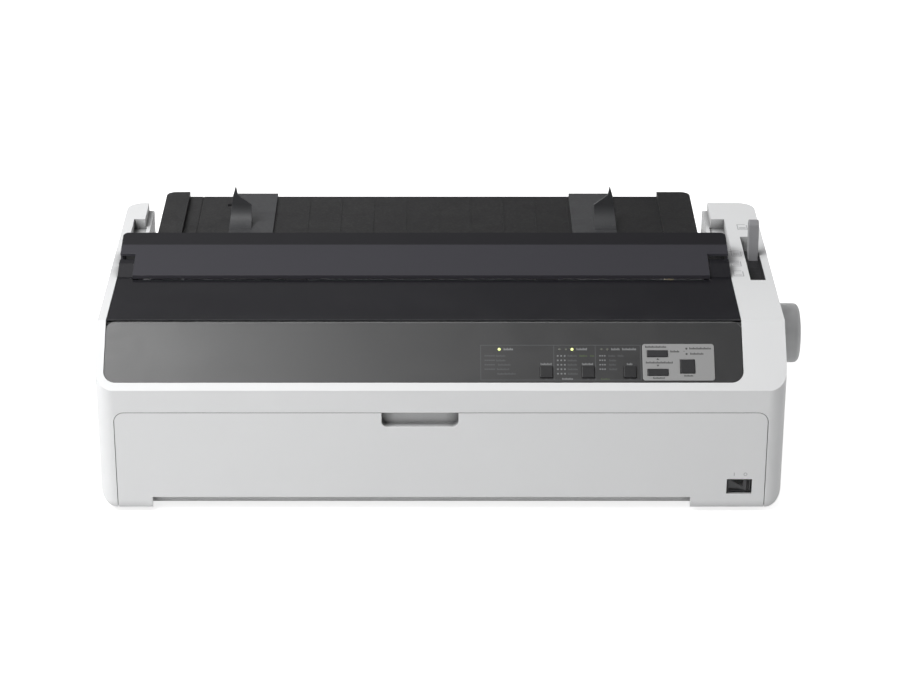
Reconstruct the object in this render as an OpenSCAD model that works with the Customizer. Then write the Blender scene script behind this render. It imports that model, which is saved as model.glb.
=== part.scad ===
// Wide-carriage dot matrix printer, as separate pieces.
// Drawn from the middle of the case (X), its front face (Y) and the ground (Z), in millimetres.

/* [Case] */
// Width of the case
case_w = 610.5; // [590:0.5:640]
// Depth of the case, from the front face to the rear wall
case_d = 328; // [322:1:350]
// Height of the flat top above the ground
case_h = 166; // [160:0.5:176]
// Height of the top edge of the front face
front_h = 120.5; // [114:0.5:126]
// How far the sloping panel face runs back
slope_run = 50; // [44:0.5:54]
// Height of the seam between the lower and the upper case
seam_h = 37; // [34:0.5:42]
// Wall thickness of the case mouldings
wall = 3; // [2.4:0.1:3.6]
// Radius of the upright corners of the case
corner_r = 16; // [10:1:22]
// Radius of the lower side edges of the case
keel_r = 15; // [8:1:20]
// Height of the rubber feet below the case
foot_h = 5; // [3:0.5:7]
// Diameter of one rubber foot
foot_d = 20; // [14:1:26]
// Width of the case rim left of the cover and panel
rim_left = 8; // [6:0.5:12]
// Width of the case rim right of the cover and panel
rim_right = 39; // [36:0.5:42]
// Depth of the rear deck below the top of the case
deck_drop = 40; // [36:1:46]
// Depth of the pockets behind the corners of the printer cover
pocket_depth = 10.4; // [8:0.2:12]

/* [Printer cover] */
// Thickness of the printer cover
lid_t = 3; // [2:0.1:3.4]
// Depth of the flat front part of the printer cover
lid_depth = 88; // [80:0.5:96]
// Gap around the covers and the panel
cover_gap = 0.5; // [0.3:0.1:1]
// Width of the tear-off flap's left shoulder
shoulder_left = 13.7; // [11:0.1:16]
// Width of the tear-off flap's right shoulder
shoulder_right = 19; // [15:0.5:22]
// Wall thickness of the tear-off flap
flap_t = 2.4; // [1.6:0.1:3]
// Depth of the flap's slanted front face
flap_face = 47.6; // [42:0.2:52]
// Depth of the flap's rear strip
flap_strip = 16.4; // [12:0.2:18]
// Height of the flap's front lip above the case top
flap_lip = 3.6; // [2:0.1:5]
// Height of the flap's ridge above the case top
flap_rise = 14; // [11:0.5:16]
// Diameter of the hinge pins of the covers
pin_d = 4; // [3:0.2:5]
// Clearance of the covers' hinge pins in their bores, on the radius
pin_gap = 0.1; // [0.05:0.05:0.2]

/* [Front cover] */
// Width of the front cover
front_cover_w = 578; // [560:1:582]
// Height of the top edge of the front cover
front_cover_top = 98.6; // [92:0.2:102]
// Thickness of the front cover
front_cover_t = 3; // [2:0.1:3.4]
// Radius of the upper corners of the front cover
front_cover_r = 9; // [5:0.5:14]
// Width of the finger recess
grip_w = 68; // [50:1:90]
// Height of the finger recess
grip_h = 13.6; // [10:0.2:18]
// Height of the cut-out along the foot of the front cover
skirt_h = 9.8; // [8:0.2:11]
// Left end of the cut-out
skirt_left = -258; // [-270:1:-240]
// Right end of the cut-out
skirt_right = 223; // [200:1:235]

/* [Control panel] */
// Thickness of the control panel
panel_t = 3; // [2:0.1:3.6]
// Height of the control panel along the slope
panel_h = 57.2; // [54:0.2:57.4]
// Distance of the panel from the crease of the case
panel_top = 2.3; // [1.5:0.1:2.5]
// Radius of the lower corners of the panel
panel_r = 10.5; // [6:0.5:14]
// Left end of the key plate
key_plate_x = 178; // [170:1:184]
// Width of the key plate
key_plate_w = 63.4; // [60:0.2:68]
// Height of the key plate
key_plate_h = 35; // [34:0.2:37]
// Side of the square status buttons
square_key = 11; // [9:0.2:12]
// Width of the two wide buttons
wide_key_w = 18; // [15:0.5:20]
// Height of the two wide buttons
wide_key_h = 6; // [5:0.2:7]
// Side of the large square button
large_key = 12.8; // [11:0.2:14]
// Travel of the buttons
key_travel = 0.9; // [0.5:0.1:1.2]
// Clearance around each button
key_gap = 0.3; // [0.2:0.05:0.4]
// Diameter of the lamps
lamp_d = 2.2; // [1.6:0.1:3]

/* [Paper feed] */
// Middle of the paper path, from the middle of the case
path_x = -18.5; // [-22:0.5:-15]
// Gap between the platen's ends and the side frames
platen_end = 13.5; // [12:0.5:18]
// Diameter of the platen
platen_d = 38; // [34:0.5:40]
// Distance of the platen's axis from the front face
platen_y = 165; // [163:0.5:167]
// Height of the platen's axis
platen_z = 101; // [99:0.5:103]
// Diameter of the platen shaft
shaft_d = 10; // [8:0.5:12]
// Clearance of the turning shafts in their bores, on the radius
run_gap = 0.05; // [0.03:0.01:0.1]
// Distance between the inner faces of the side frames
frame_span = 457; // [453:1:460]
// Thickness of the side frames
frame_t = 2; // [1.6:0.1:2.5]
// Diameter of the platen knob
knob_d = 55.5; // [45:0.5:60]
// How far the knob stands out of the case
knob_out = 28.5; // [22:0.5:34]

/* [Gears] */
// Tooth module of the feed gears
gear_m = 1.5; // [1.4:0.05:1.5]
// Teeth of the platen gear
platen_teeth = 46; // [42:1:46]
// Teeth of the feed motor pinion
pinion_teeth = 14; // [13:1:16]
// Teeth of the idler gear
idler_teeth = 16; // [16:1:18]
// Teeth of the tractor gear
tractor_teeth = 20; // [20:1:22]
// Width of the gears
gear_w = 8; // [6:0.5:9]
// Play between the teeth along the pitch circle
backlash = 0.3; // [0.25:0.05:0.4]

/* [Carriage] */
// Printing width, which the carriage travels
print_w = 345; // [330:1:350]
// Width of the carriage
carriage_w = 60; // [50:1:62]
// Diameter of the carriage rod
rod_d = 12; // [10:0.5:13]
// Pitch radius of the belt pulleys
pulley_r = 8; // [7:0.5:9]
// Width of the timing belt
belt_w = 6; // [5:0.5:7]
// Thickness of the timing belt
belt_t = 1.5; // [1:0.1:1.8]

/* [Tractors] */
// Distance of the tractor shaft from the front face
tractor_y = 236; // [235:0.5:237]
// Height of the tractor shaft
tractor_z = 112; // [111:0.5:113]
// Side of the square tractor shaft
tractor_shaft = 6; // [5:0.2:7]
// Width of one tractor
tractor_w = 20; // [16:0.5:24]
// Length of one tractor
tractor_len = 44; // [40:0.5:46]
// Distance between the middles of the two tractors
tractor_gap = 240; // [200:1:300]

/* [Paper guide] */
// Left end of the paper guide
guide_left = -274.2; // [-276:0.2:-270]
// Right end of the paper guide
guide_right = 248.7; // [244:0.1:250]
// Distance of the guide's rear edge behind the case
guide_over = 70; // [60:0.5:80]
// Height of the guide's upper face above the rear deck
guide_rise = 18.5; // [15:0.5:20]
// Thickness of the guide
guide_t = 3; // [2:0.1:3.6]
// Width of the left raised wing
wing_left = 22.9; // [18:0.1:28]
// Width of the right raised wing
wing_right = 32.7; // [28:0.1:36]
// Height of the wings above the guide's middle
wing_h = 5; // [3:0.2:7]
// Distance of the guide's hinge from the front face
guide_hinge_y = 270; // [268:0.5:272]
// Width of each edge guide
edge_w = 43; // [38:0.5:46]
// Height of the stop's inner edge above the guide
stop_low = 18.3; // [14:0.1:22]
// Height of the stop's outer peak above the guide
stop_high = 36.8; // [30:0.1:40]

/* [Release lever] */
// Distance of the lever's pivot from the front face
lever_y = 190.5; // [188:0.5:193]
// Height of the lever's pivot
lever_z = 96; // [90:0.5:100]
// Height of the lever's top above the case
lever_rise = 32.5; // [24:0.5:38]
// Width of the lever
lever_w = 9.5; // [7:0.1:10]
// Lean of the lever at rest
lever_lean = 8; // [0:1:12]

/* [Power switch] */
// Middle of the power switch
switch_x = 266.4; // [262:0.2:268]
// Height of the middle of the power switch
switch_z = 25.5; // [24:0.1:26]
// Width of the opening for the switch
switch_w = 22.5; // [20:0.5:24]
// Height of the opening for the switch
switch_h = 14.6; // [13:0.2:16]

/* [Hidden] */

$fn = 64;
eps = 0.01;
// A cut starts and ends this far outside what it cuts
over = 1;
// Clearance of a piece that slides on or lies over another
slide_gap = 0.3;

// Case
half_w = case_w / 2;
deck_h = case_h - deck_drop;
guide_h = deck_h + guide_rise;
platen_len = frame_span - 2 * platen_end;
slope_rise = case_h - front_h;
slope_a = atan2(slope_rise, slope_run);
guide_end = case_d + guide_over;
edge_over = 3;
overall_d = guide_end + edge_over;
floor_z = foot_h + wall + eps;
front_pocket = 11;
front_half = front_cover_w / 2 + cover_gap;
lid_x0 = -half_w + rim_left;
lid_x1 = half_w - rim_right;
top_in = case_h - wall;

// Covers
lid_y0 = slope_run + 1.2;
lid_y1 = lid_y0 + lid_depth;
lid_top = case_h;
flap_y0 = lid_y1 + 2.6;
ridge_y = flap_y0 + flap_face;
arm_y1 = ridge_y + flap_strip;
flap_y1 = arm_y1 + 3.2;
flap_x0 = lid_x0 + shoulder_left;
flap_x1 = lid_x1 - shoulder_right;
ledge_t = 2.6;
ledge_z = case_h - lid_t - ledge_t - slide_gap;
lid_hinge_y = arm_y1 + 5;
lid_hinge_z = case_h - 6;
flap_hinge_y = flap_y0 + 4;
flap_hinge_z = case_h - 0.8;
front_hinge_y = 4.4;
front_hinge_z = foot_h + 4.4;
lug_d = 7.6;
pin_reach = 4;

// Rear bay and pockets: x of the faces, from the middle of the case
bay_x0 = guide_left - 6.3;
bay_x1 = guide_right + 6.8;
rib_t = 3.5;
pocket_l0 = lid_x0 + 1.4;
pocket_l1 = bay_x0 - rib_t;
pocket_r0 = bay_x1 + rib_t;
pocket_r1 = pocket_r0 + 14;
pocket_y1 = case_d - 42;
pocket_z = case_h - pocket_depth;
rib_z = pocket_z + 2;
step_w = 4.9;
bay_y = arm_y1 + 1;
slot_x0 = half_w - 21.3;
slot_x1 = half_w - 7.3;
slot_y0 = lever_y - 51.5;
slot_y1 = lever_y + 51.5;

// Mechanism
frame_x0 = path_x - frame_span / 2;
frame_x1 = path_x + frame_span / 2;
frame_y0 = 30;
frame_y1 = 262;
plate_t = 2;
plate_z = floor_z + plate_t;
frame_top = 120;
foot_w = 14;
gear_x0 = frame_x1 + frame_t + 2;
gear_x1 = gear_x0 + gear_w;
platen_r = platen_d / 2;
bush_d = shaft_d + 6;
bush_t = 3;
knob_x0 = half_w + 1;
knob_x1 = half_w + knob_out;
chute_gap = 2;
chute_t = 1.2;

// Feed gears: pitch radii and axes, as [y, z]
platen_pr = gear_m * platen_teeth / 2;
pinion_pr = gear_m * pinion_teeth / 2;
idler_pr = gear_m * idler_teeth / 2;
tractor_pr = gear_m * tractor_teeth / 2;
platen_at = [platen_y, platen_z];
tractor_at = [tractor_y, tractor_z];
pinion_a = -50;
pinion_at = platen_at + (platen_pr + pinion_pr) * [cos(pinion_a), sin(pinion_a)];
far = norm(tractor_at - platen_at);
far_a = atan2(tractor_z - platen_z, tractor_y - platen_y);
reach_a = platen_pr + idler_pr;
reach_b = tractor_pr + idler_pr;
bend_a = acos((far * far + reach_a * reach_a - reach_b * reach_b) / (2 * far * reach_a));
idler_a = far_a - bend_a;
idler_at = platen_at + reach_a * [cos(idler_a), sin(idler_a)];
tractor_a = atan2(tractor_z - idler_at[1], tractor_y - idler_at[0]);
pin_bore = 5;

// Carriage
rod_y = 112;
rod_z = 66;
home_x = path_x - print_w / 2;
belt_y = 92;
belt_z = 46;
carriage_side = 52;
drive_x = frame_x1 - carriage_side / 2 - 2;
idler_x = home_x - 34;
rail_y = 66;
rail_z = 76;
head_y1 = platen_y - platen_r - 6;
ribbon_y = head_y1 + 0.5;
ribbon_t = 0.5;
ribbon_z0 = platen_z - 6;
ribbon_z1 = platen_z + 7;
mask_y = ribbon_y + ribbon_t + 0.8;
carriage_z0 = 56;
carriage_z1 = 86;
cartridge_x0 = frame_x0 + 4;
cartridge_x1 = frame_x1 - 4;
arm_w = 12;
cartridge_z = 88;

// Tractors
rail_d = 8;
rail_at = [tractor_y + 14, tractor_z - 10];
tractor_lx = path_x - tractor_gap / 2;
tractor_rx = path_x + tractor_gap / 2;
tractor_top = tractor_z + 10;
sprocket_pitch = 12.7;

// Paper guide
guide_hinge_z = guide_h - 7;
guide_y0 = guide_hinge_y - 6;
wing_z = guide_h + wing_h;
mid_x0 = guide_left + wing_left;
mid_x1 = guide_right - wing_right;
edge_lx = -206.5;
edge_rx = 128;
edge_z = guide_h + 2.2;
edge_y0 = guide_y0 + 24;
stop_y = case_d - 3;

// Lever
lever_top = case_h + lever_rise;
lever_x0 = half_w - 8.6 - lever_w;
lever_hub = 20;
lever_pin = 8;

// Buttons: [middle across, middle down the slope, width, height]
font_at = [92.9, 49.8, square_key, square_key];
pitch_at = [129.8, 49.8, square_key, square_key];
pause_at = [166.6, 49.8, square_key, square_key];
load_at = [191.3, 32.4, wide_key_w, wide_key_h];
feed_at = [191.3, 50.2, wide_key_w, wide_key_h];
tear_at = [217.6, 44.6, large_key, large_key];
KEYS = [font_at, pitch_at, pause_at, load_at, feed_at, tear_at];
PLATE_KEYS = [load_at, feed_at, tear_at];
lamp_row = 28;
lit_lamps = [51.5, 115.9];
dark_lamps = [105, 110.6, 142, 147.2];
board_gap = 8;
board_t = 1.6;
panel_low = 0.5;
flange = 1.5;

// Puts the printer's middle over the origin
module placed() translate([-knob_out / 2, -overall_d / 2, 0]) children();

// A box from its lowest to its highest corner
module box(a, b) translate(a) cube(b - a);

// An outline in Y and Z, drawn out along X
module along_x(x0, x1) translate([x0, 0, 0]) rotate([90, 0, 90]) linear_extrude(x1 - x0) children();

// An outline in X and Z, drawn out along Y
module along_y(y0, y1) translate([0, y1, 0]) rotate([90, 0, 0]) linear_extrude(y1 - y0) children();

// A round bar along X about an axis at [y, z]
module bar_x(x0, x1, at, d) translate([x0, at[0], at[1]]) rotate([0, 90, 0]) cylinder(d = d, h = x1 - x0);

// A round bar along Y about an axis at [x, z]
module bar_y(y0, y1, at, d) translate([at[0], y0, at[1]]) rotate([-90, 0, 0]) cylinder(d = d, h = y1 - y0);

// A round bar along Z about an axis at [x, y]
module bar_z(z0, z1, at, d) translate([at[0], at[1], z0]) cylinder(d = d, h = z1 - z0);

// A rectangle from a to b with round corners of radius r
module rounded(a, b, r) {
    translate([a[0] + r, a[1]]) square([b[0] - a[0] - 2 * r, b[1] - a[1]]);
    translate([a[0], a[1] + r]) square([b[0] - a[0], b[1] - a[1] - 2 * r]);
    for (x = [a[0] + r, b[0] - r], y = [a[1] + r, b[1] - r]) translate([x, y]) circle(r);
}

// Local axes on the sloping face: x across, y up the slope from the crease, z outwards
module on_slope() translate([0, slope_run, case_h]) rotate([slope_a, 0, 0]) children();

// A block on the slope about [across, down, width, height], from depth z0 to z1
module slope_block(at, z0, z1, grow = 0)
    on_slope() translate([at[0] - at[2] / 2 - grow, -at[1] - at[3] / 2 - grow, z0])
        cube([at[2] + 2 * grow, at[3] + 2 * grow, z1 - z0]);

// Involute angle at a pressure angle, in degrees
function inv(a) = tan(a) * 180 / PI - a;
// Half the angle that a tooth spans at radius r
function half_tooth(r, pr, teeth) = let(rb = pr * cos(20))
    90 / teeth - backlash / pr * 45 / PI + inv(20) - inv(acos(min(1, rb / r)));
function polar(r, a) = [r * cos(a), r * sin(a)];

// A gear outline with its first tooth at angle phase
module gear_outline(teeth, phase) {
    pr = gear_m * teeth / 2;
    rb = pr * cos(20);
    tip = pr + 0.8 * gear_m;
    root = pr - 1.15 * gear_m;
    low = max(root + 0.05, rb);
    radii = [root, low, pr, tip];
    polygon([for (i = [0 : teeth - 1], s = [-1, 1], k = [0 : 3])
        let(r = radii[s < 0 ? k : 3 - k])
        polar(r, phase + 360 * i / teeth + s * half_tooth(max(r, low), pr, teeth))]);
}

// The share of a pitch by which direction a lies past a tooth
function past(a, phase, teeth) = (a - phase) / (360 / teeth);
// Phase of a gear that meshes with another one seen in direction a
function mesh(a, phase, teeth, next) = a + 180 - (0.5 - past(a, phase, teeth)) * 360 / next;
platen_phase = 0;
pinion_phase = mesh(pinion_a, platen_phase, platen_teeth, pinion_teeth);
idler_phase = mesh(idler_a, platen_phase, platen_teeth, idler_teeth);
tractor_phase = mesh(tractor_a, idler_phase, idler_teeth, tractor_teeth);

// A feed gear with a hub towards the frame and a bore
module feed_gear(teeth, phase, at, hub, bore) difference() {
    union() {
        along_x(gear_x0, gear_x1) translate(at) gear_outline(teeth, phase);
        bar_x(gear_x0 - 1.5, gear_x0 + eps, at, hub);
    }
    bar_x(gear_x0 - over - 1.5, gear_x1 + over, at, bore);
}

// Side profile of the case above height low, pulled in by t
function case_profile(t, low) = [
    [t, low],
    [t, front_h - t * cos(slope_a) + t * (1 - sin(slope_a)) * tan(slope_a)],
    [t * sin(slope_a) + (slope_rise - t + t * cos(slope_a)) / tan(slope_a), case_h - t],
    [case_d - t, case_h - t],
    [case_d - t, low]];

// Plan of the case, pulled in by t
module case_plan(t) rounded([-half_w + t, t], [half_w - t, case_d - t], corner_r - t);

// The case's body above height low, pulled in by t
module case_body(t, low) intersection() {
    along_x(-half_w + t, half_w - t) polygon(case_profile(t, low));
    linear_extrude(case_h + over) case_plan(t);
}

// The lower case's body, pulled in by t
module tray_body(t) intersection() {
    translate([0, 0, foot_h + t]) linear_extrude(seam_h - foot_h) case_plan(t);
    along_y(0, case_d) rounded([-half_w + t, foot_h + t], [half_w - t, seam_h + 3 * keel_r], keel_r - t);
}

// Outline of the front cover's opening or plate, grown by t
module front_cover_outline(t) rounded([-front_cover_w / 2 - t, foot_h - 3 * front_cover_r],
    [front_cover_w / 2 + t, front_cover_top + t], front_cover_r + t);

// What the panel opening in the slope or the panel itself covers, grown by t
module panel_outline(t, top) rounded([lid_x0 - t, -panel_top - panel_h - t],
    [lid_x1 + t, top], panel_r + t);

// The case foot places, as [x, y]
FEET = [for (x = [-half_w + 60, half_w - 60], y = [50, case_d - 45]) [x, y]];
FRAME_SCREWS = [for (x = [frame_x0 - frame_t - foot_w / 2, frame_x1 + frame_t + foot_w / 2],
    y = [frame_y0 + 14, 96, 172, frame_y1 - 14]) [x, y]];
screw_d = 3.5;

module lower_case() color("gainsboro") placed() difference() {
    tray_body(0);
    difference() {
        translate([0, 0, eps]) tray_body(wall);
        // The front wall steps back behind the front cover
        box([-front_half - wall, 0, foot_h], [front_half + wall, front_pocket + wall, seam_h + over]);
    }
    box([-front_half, -over, foot_h - over], [front_half, front_pocket, seam_h + over]);
    for (s = [-1, 1]) bar_x(s * front_half - pin_reach - 1, s * front_half + pin_reach + 1,
        [front_hinge_y, front_hinge_z], pin_d + 2 * pin_gap);
    box([switch_x - switch_w / 2 + 1, wall, switch_z - switch_h / 2 + 1],
        [switch_x + switch_w / 2 - 1, front_pocket + wall + over, switch_z + switch_h / 2 - 1]);
    for (at = FRAME_SCREWS) bar_z(foot_h + 1, floor_z + over, at, screw_d + 0.1);
    for (at = FEET) bar_z(foot_h - over, foot_h + 1, at, foot_d + 2 * pin_gap);
    box([parallel_x - parallel_w / 2, case_d - wall - over, socket_z],
        [parallel_x + parallel_w / 2, case_d + over, socket_z + parallel_h]);
    box([usb_x - usb_w / 2, case_d - wall - over, socket_z],
        [usb_x + usb_w / 2, case_d + over, socket_z + usb_h]);
    box([inlet_x - inlet_w / 2, case_d - wall - over, inlet_z],
        [inlet_x + inlet_w / 2, case_d + over, inlet_z + inlet_h]);
}

// Ledges under the edges of the printer cover
module cover_ledges() {
    shelf = 7;
    rim_z = top_in + eps;
    for (s = [0, 1]) mirror([s, 0, 0]) {
        rim = s == 0 ? lid_x1 : -lid_x0;
        box([rim - shelf, lid_y0, ledge_z], [rim + cover_gap, bay_y, ledge_z + ledge_t]);
        box([rim + cover_gap - eps, lid_y0, ledge_z], [rim + cover_gap + wall, bay_y, rim_z]);
    }
    box([lid_x0 - cover_gap, lid_y0 + 1, ledge_z - 2], [lid_x1 + cover_gap, lid_y0 + 8, ledge_z + ledge_t]);
}

// Frame behind the edges of the control panel
module panel_ledge() {
    seat = -panel_low - panel_t;
    grip = 2;
    on_slope() {
        translate([0, 0, seat - 2]) linear_extrude(2) difference() {
            panel_outline(cover_gap + wall, 0.6);
            rounded([lid_x0 + grip, -panel_top - panel_h + grip], [lid_x1 - grip, -panel_top - grip], 2);
        }
        translate([0, 0, seat - eps]) linear_extrude(-seat - wall + 3 * eps) difference() {
            panel_outline(cover_gap + wall, -panel_top);
            panel_outline(cover_gap, 20);
        }
    }
}

// Walls of the rear bay and of the pockets behind the cover's corners
module rear_walls() {
    skin = 4;
    bay_low = deck_h - 16;
    box([pocket_l1, bay_y, bay_low], [bay_x0, pocket_y1, rib_z]);
    box([bay_x1, bay_y, bay_low], [pocket_r0, pocket_y1, rib_z]);
    for (x = [[pocket_l1, bay_x0], [bay_x1, pocket_r0]])
        box([x[0], pocket_y1 - eps, bay_low], [x[1], case_d - wall + eps, rib_z]);
    // Low rim between the bay and the case's top behind the pockets
    for (x = [[bay_x0 - step_w - wall, bay_x0], [bay_x1, bay_x1 + step_w + wall]])
        box([x[0], pocket_y1, rib_z - wall], [x[1], case_d - wall + eps, rib_z]);
    for (x = [bay_x0 - step_w - wall, bay_x1 + step_w])
        box([x, pocket_y1, rib_z - wall], [x + wall, case_d - wall + eps, top_in + eps]);
    box([bay_x0 - eps, pocket_y1, deck_h - wall], [bay_x1 + eps, case_d - wall + eps, deck_h]);
    for (x = [[pocket_l0 - skin, bay_x0], [bay_x1, pocket_r1 + skin]])
        box([x[0], bay_y, pocket_z - wall], [x[1], pocket_y1 + wall, pocket_z]);
    for (x = [[pocket_l0 - skin, bay_x0 - step_w], [bay_x1 + step_w, pocket_r1 + skin]])
        box([x[0], pocket_y1, pocket_z - wall], [x[1], pocket_y1 + wall, top_in + eps]);
    box([pocket_l0 - skin, bay_y, pocket_z - wall], [pocket_l0, pocket_y1 + wall, top_in + eps]);
    box([pocket_r1, bay_y, pocket_z - wall], [pocket_r1 + skin, pocket_y1 + wall, top_in + eps]);
}

// Walls around the lever's slot and the pin that carries the lever
module lever_well() {
    deep = 12;
    skin = 2;
    difference() {
        box([slot_x0 - skin, slot_y0 - skin, top_in - deep], [slot_x1 + skin, slot_y1 + skin, top_in + eps]);
        box([slot_x0, slot_y0, top_in - deep - over], [slot_x1, slot_y1, top_in + over]);
    }
    bar_x(lever_x0 - 3, half_w - wall + eps, [lever_y, lever_z], lever_pin);
    bar_x(lever_x0 + lever_w + slide_gap, half_w - wall + eps, [lever_y, lever_z], lever_pin + 6);
}

module upper_case() color("whitesmoke") placed() difference() {
    union() {
        difference() {
            case_body(0, seam_h);
            case_body(wall, seam_h - over);
            box([lid_x0 - cover_gap, slope_run - 4, top_in - 2], [lid_x1 + cover_gap, bay_y, case_h + over]);
            on_slope() translate([0, 0, -wall - 2]) linear_extrude(wall + 2 + over)
                panel_outline(cover_gap, 8);
            box([bay_x0, bay_y - over, deck_h], [bay_x1, case_d + over, case_h + over]);
            box([pocket_l0, bay_y - over, top_in - over], [pocket_l1 + eps, pocket_y1, case_h + over]);
            box([pocket_r0 - eps, bay_y - over, top_in - over], [pocket_r1, pocket_y1, case_h + over]);
            box([pocket_l1, bay_y - over, top_in - over], [bay_x0 + over, pocket_y1, case_h + over]);
            box([bay_x1 - over, bay_y - over, top_in - over], [pocket_r0, pocket_y1, case_h + over]);
            box([slot_x0, slot_y0, top_in - over], [slot_x1, slot_y1, case_h + over]);
            for (x = [bay_x0 - step_w, bay_x1])
                box([x, pocket_y1 - over, rib_z], [x + step_w, case_d + over, case_h + over]);
        }
        cover_ledges();
        panel_ledge();
        rear_walls();
        lever_well();
    }
    along_y(-over, wall + over) front_cover_outline(cover_gap);
    bar_x(half_w - wall - over, half_w + over, platen_at, shaft_d + 2);
    bar_x(pocket_l0 - pin_reach - 0.2, pocket_l0 + eps, [lid_hinge_y, lid_hinge_z], pin_d + 2 * pin_gap);
    bar_x(pocket_r1 - eps, pocket_r1 + pin_reach + 0.2, [lid_hinge_y, lid_hinge_z], pin_d + 2 * pin_gap);
    bar_x(pocket_l1 - over, bay_x0 + over, [guide_hinge_y, guide_hinge_z], pin_d + 2 * pin_gap);
    bar_x(bay_x1 - over, pocket_r0 + over, [guide_hinge_y, guide_hinge_z], pin_d + 2 * pin_gap);
}

module rubber_feet() color("dimgray") placed()
    for (at = FEET) bar_z(0, foot_h + 1, at, foot_d);

// Pan-head screws that hold the side frames down
module frame_screws() color("silver") placed() for (at = FRAME_SCREWS) {
    bar_z(foot_h + 1.5, plate_z + frame_t + eps, at, screw_d);
    bar_z(plate_z + frame_t, plate_z + frame_t + 2.4, at, 2 * screw_d);
}

module front_inner_panel() color("slategray") placed() difference() {
    box([-front_half + 2, front_pocket + wall, floor_z], [front_half - 2, front_pocket + wall + 2, 104]);
    box([path_x - 215, front_pocket, 58], [path_x + 215, front_pocket + 2 * wall + over, 72]);
    box([switch_x - switch_w / 2 - 2, front_pocket, switch_z - switch_h / 2 - 2],
        [switch_x + switch_w / 2 + 2, front_pocket + 2 * wall + over, switch_z + switch_h / 2 + 2]);
}

// Printer cover: a smoked plate in front, two arms beside the flap and hinge lugs behind
module printer_cover() color("darkslategray") placed() {
    plate_low = lid_top - lid_t;
    arm_end = arm_y1 + 0.5;
    block = [[lid_y1 - 4, plate_low], [lid_y1 - 4, lid_top], [lid_y1 + 4.6, lid_top],
        [lid_y1 + 5, lid_top + 0.9], [lid_y1 + 22, lid_top + 7], [lid_y1 + 31, lid_top + 7.4],
        [lid_y1 + 33, lid_top], [lid_y1 + 33, plate_low]];
    difference() {
        union() {
            along_x(lid_x0, lid_x1) polygon([[lid_y0, lid_top], [lid_y1, lid_top], [lid_y1, plate_low],
                [lid_y0 + 4, plate_low], [lid_y0, lid_top - 1]]);
            for (x = [[lid_x0, flap_x0], [flap_x1, lid_x1]]) {
                along_x(x[0], x[1]) polygon(block);
                box([x[0], lid_y1 - over, plate_low], [x[1], arm_end, lid_top]);
            }
            for (x = [[pocket_l0 + 0.4, flap_x0 - 1], [pocket_r0 + 0.4, pocket_r1 - 0.4]]) {
                bar_x(x[0], x[1], [lid_hinge_y, lid_hinge_z], lug_d);
                box([x[0], bay_y + 0.3, lid_hinge_z - 1], [x[1], lid_hinge_y, lid_hinge_z + lug_d / 2]);
            }
            box([pocket_l0 + 0.4, arm_end - over, plate_low], [flap_x0 - 1, lid_hinge_y, plate_low + 1]);
            box([pocket_r0 + 0.4, arm_end - over, plate_low], [lid_x1, lid_hinge_y, plate_low + 1]);
            bar_x(pocket_l0 - pin_reach, pocket_l0 + 1, [lid_hinge_y, lid_hinge_z], pin_d);
            bar_x(pocket_r1 - 1, pocket_r1 + pin_reach, [lid_hinge_y, lid_hinge_z], pin_d);
        }
        bar_x(flap_x0 - 5, flap_x0 + over, [flap_hinge_y, flap_hinge_z], flap_pin + 2 * pin_gap);
        bar_x(flap_x1 - over, flap_x1 + 5, [flap_hinge_y, flap_hinge_z], flap_pin + 2 * pin_gap);
        // The arm's outer strip ends short of the case behind the pocket's edge
        box([lid_x0 - over, arm_y1 - 4.6, plate_low - over],
            [pocket_l0 + 0.4, arm_end + over, lid_top + over]);
    }
}

// Tear-off flap: a slanted strip over the paper's way out, hinged on the printer cover
flap_pin = 2.4;
module tear_off_flap() color("dimgray") placed() {
    lip_z = lid_top + flap_lip;
    ridge_z = lid_top + flap_rise;
    rear_z = ridge_z + 4;
    share = 0.7;
    mid = [flap_y0 + share * flap_face, lip_z + share * (ridge_z - lip_z)];
    rear = [[ridge_y, ridge_z], [flap_y1, rear_z], [flap_y1, rear_z - flap_t - 1],
        [ridge_y, ridge_z - flap_t]];
    low = [flap_y0, lip_z - flap_t];
    end_gap = 0.4;
    // Full-width rear part with rounded rear corners; cheeks close its ends above the arms
    intersection() {
        union() {
            along_x(lid_x0, lid_x1) polygon(concat([mid], rear, [mid - [0, flap_t]]));
            for (x = [lid_x0, lid_x1 - 2]) along_x(x, x + 2) polygon([
                [lid_y1 + 36, lid_top + slide_gap], [mid[0] + 2, mid[1] - flap_t + 0.8],
                [ridge_y, ridge_z - flap_t + 0.5], [flap_y1 - 6, rear_z - flap_t],
                [flap_y1 - 6, lid_top + slide_gap]]);
        }
        linear_extrude(case_h + 50) rounded([lid_x0, lid_y1], [lid_x1, flap_y1], 5);
    }
    along_x(flap_x0 + end_gap, flap_x1 - end_gap) polygon([[flap_y0, lip_z], mid, mid - [0, flap_t],
        [flap_y0 + 6, lip_z - flap_t + 1.2], [flap_y0 + 6, lip_z - flap_t - 1.2], low - [0, 1.2]]);
    // Hinge ears with their pins
    for (s = [0, 1]) {
        x = s == 0 ? flap_x0 + end_gap : flap_x1 - end_gap - 5;
        bar_x(x, x + 5, [flap_hinge_y, flap_hinge_z], 4.4);
        box([x, flap_hinge_y - 2.2, flap_hinge_z], [x + 5, flap_hinge_y + 2.2, lip_z - flap_t + 0.6]);
        bar_x(s == 0 ? flap_x0 - 4 : flap_x1 - over, s == 0 ? flap_x0 + over : flap_x1 + 4,
            [flap_hinge_y, flap_hinge_z], flap_pin);
    }
}

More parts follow.
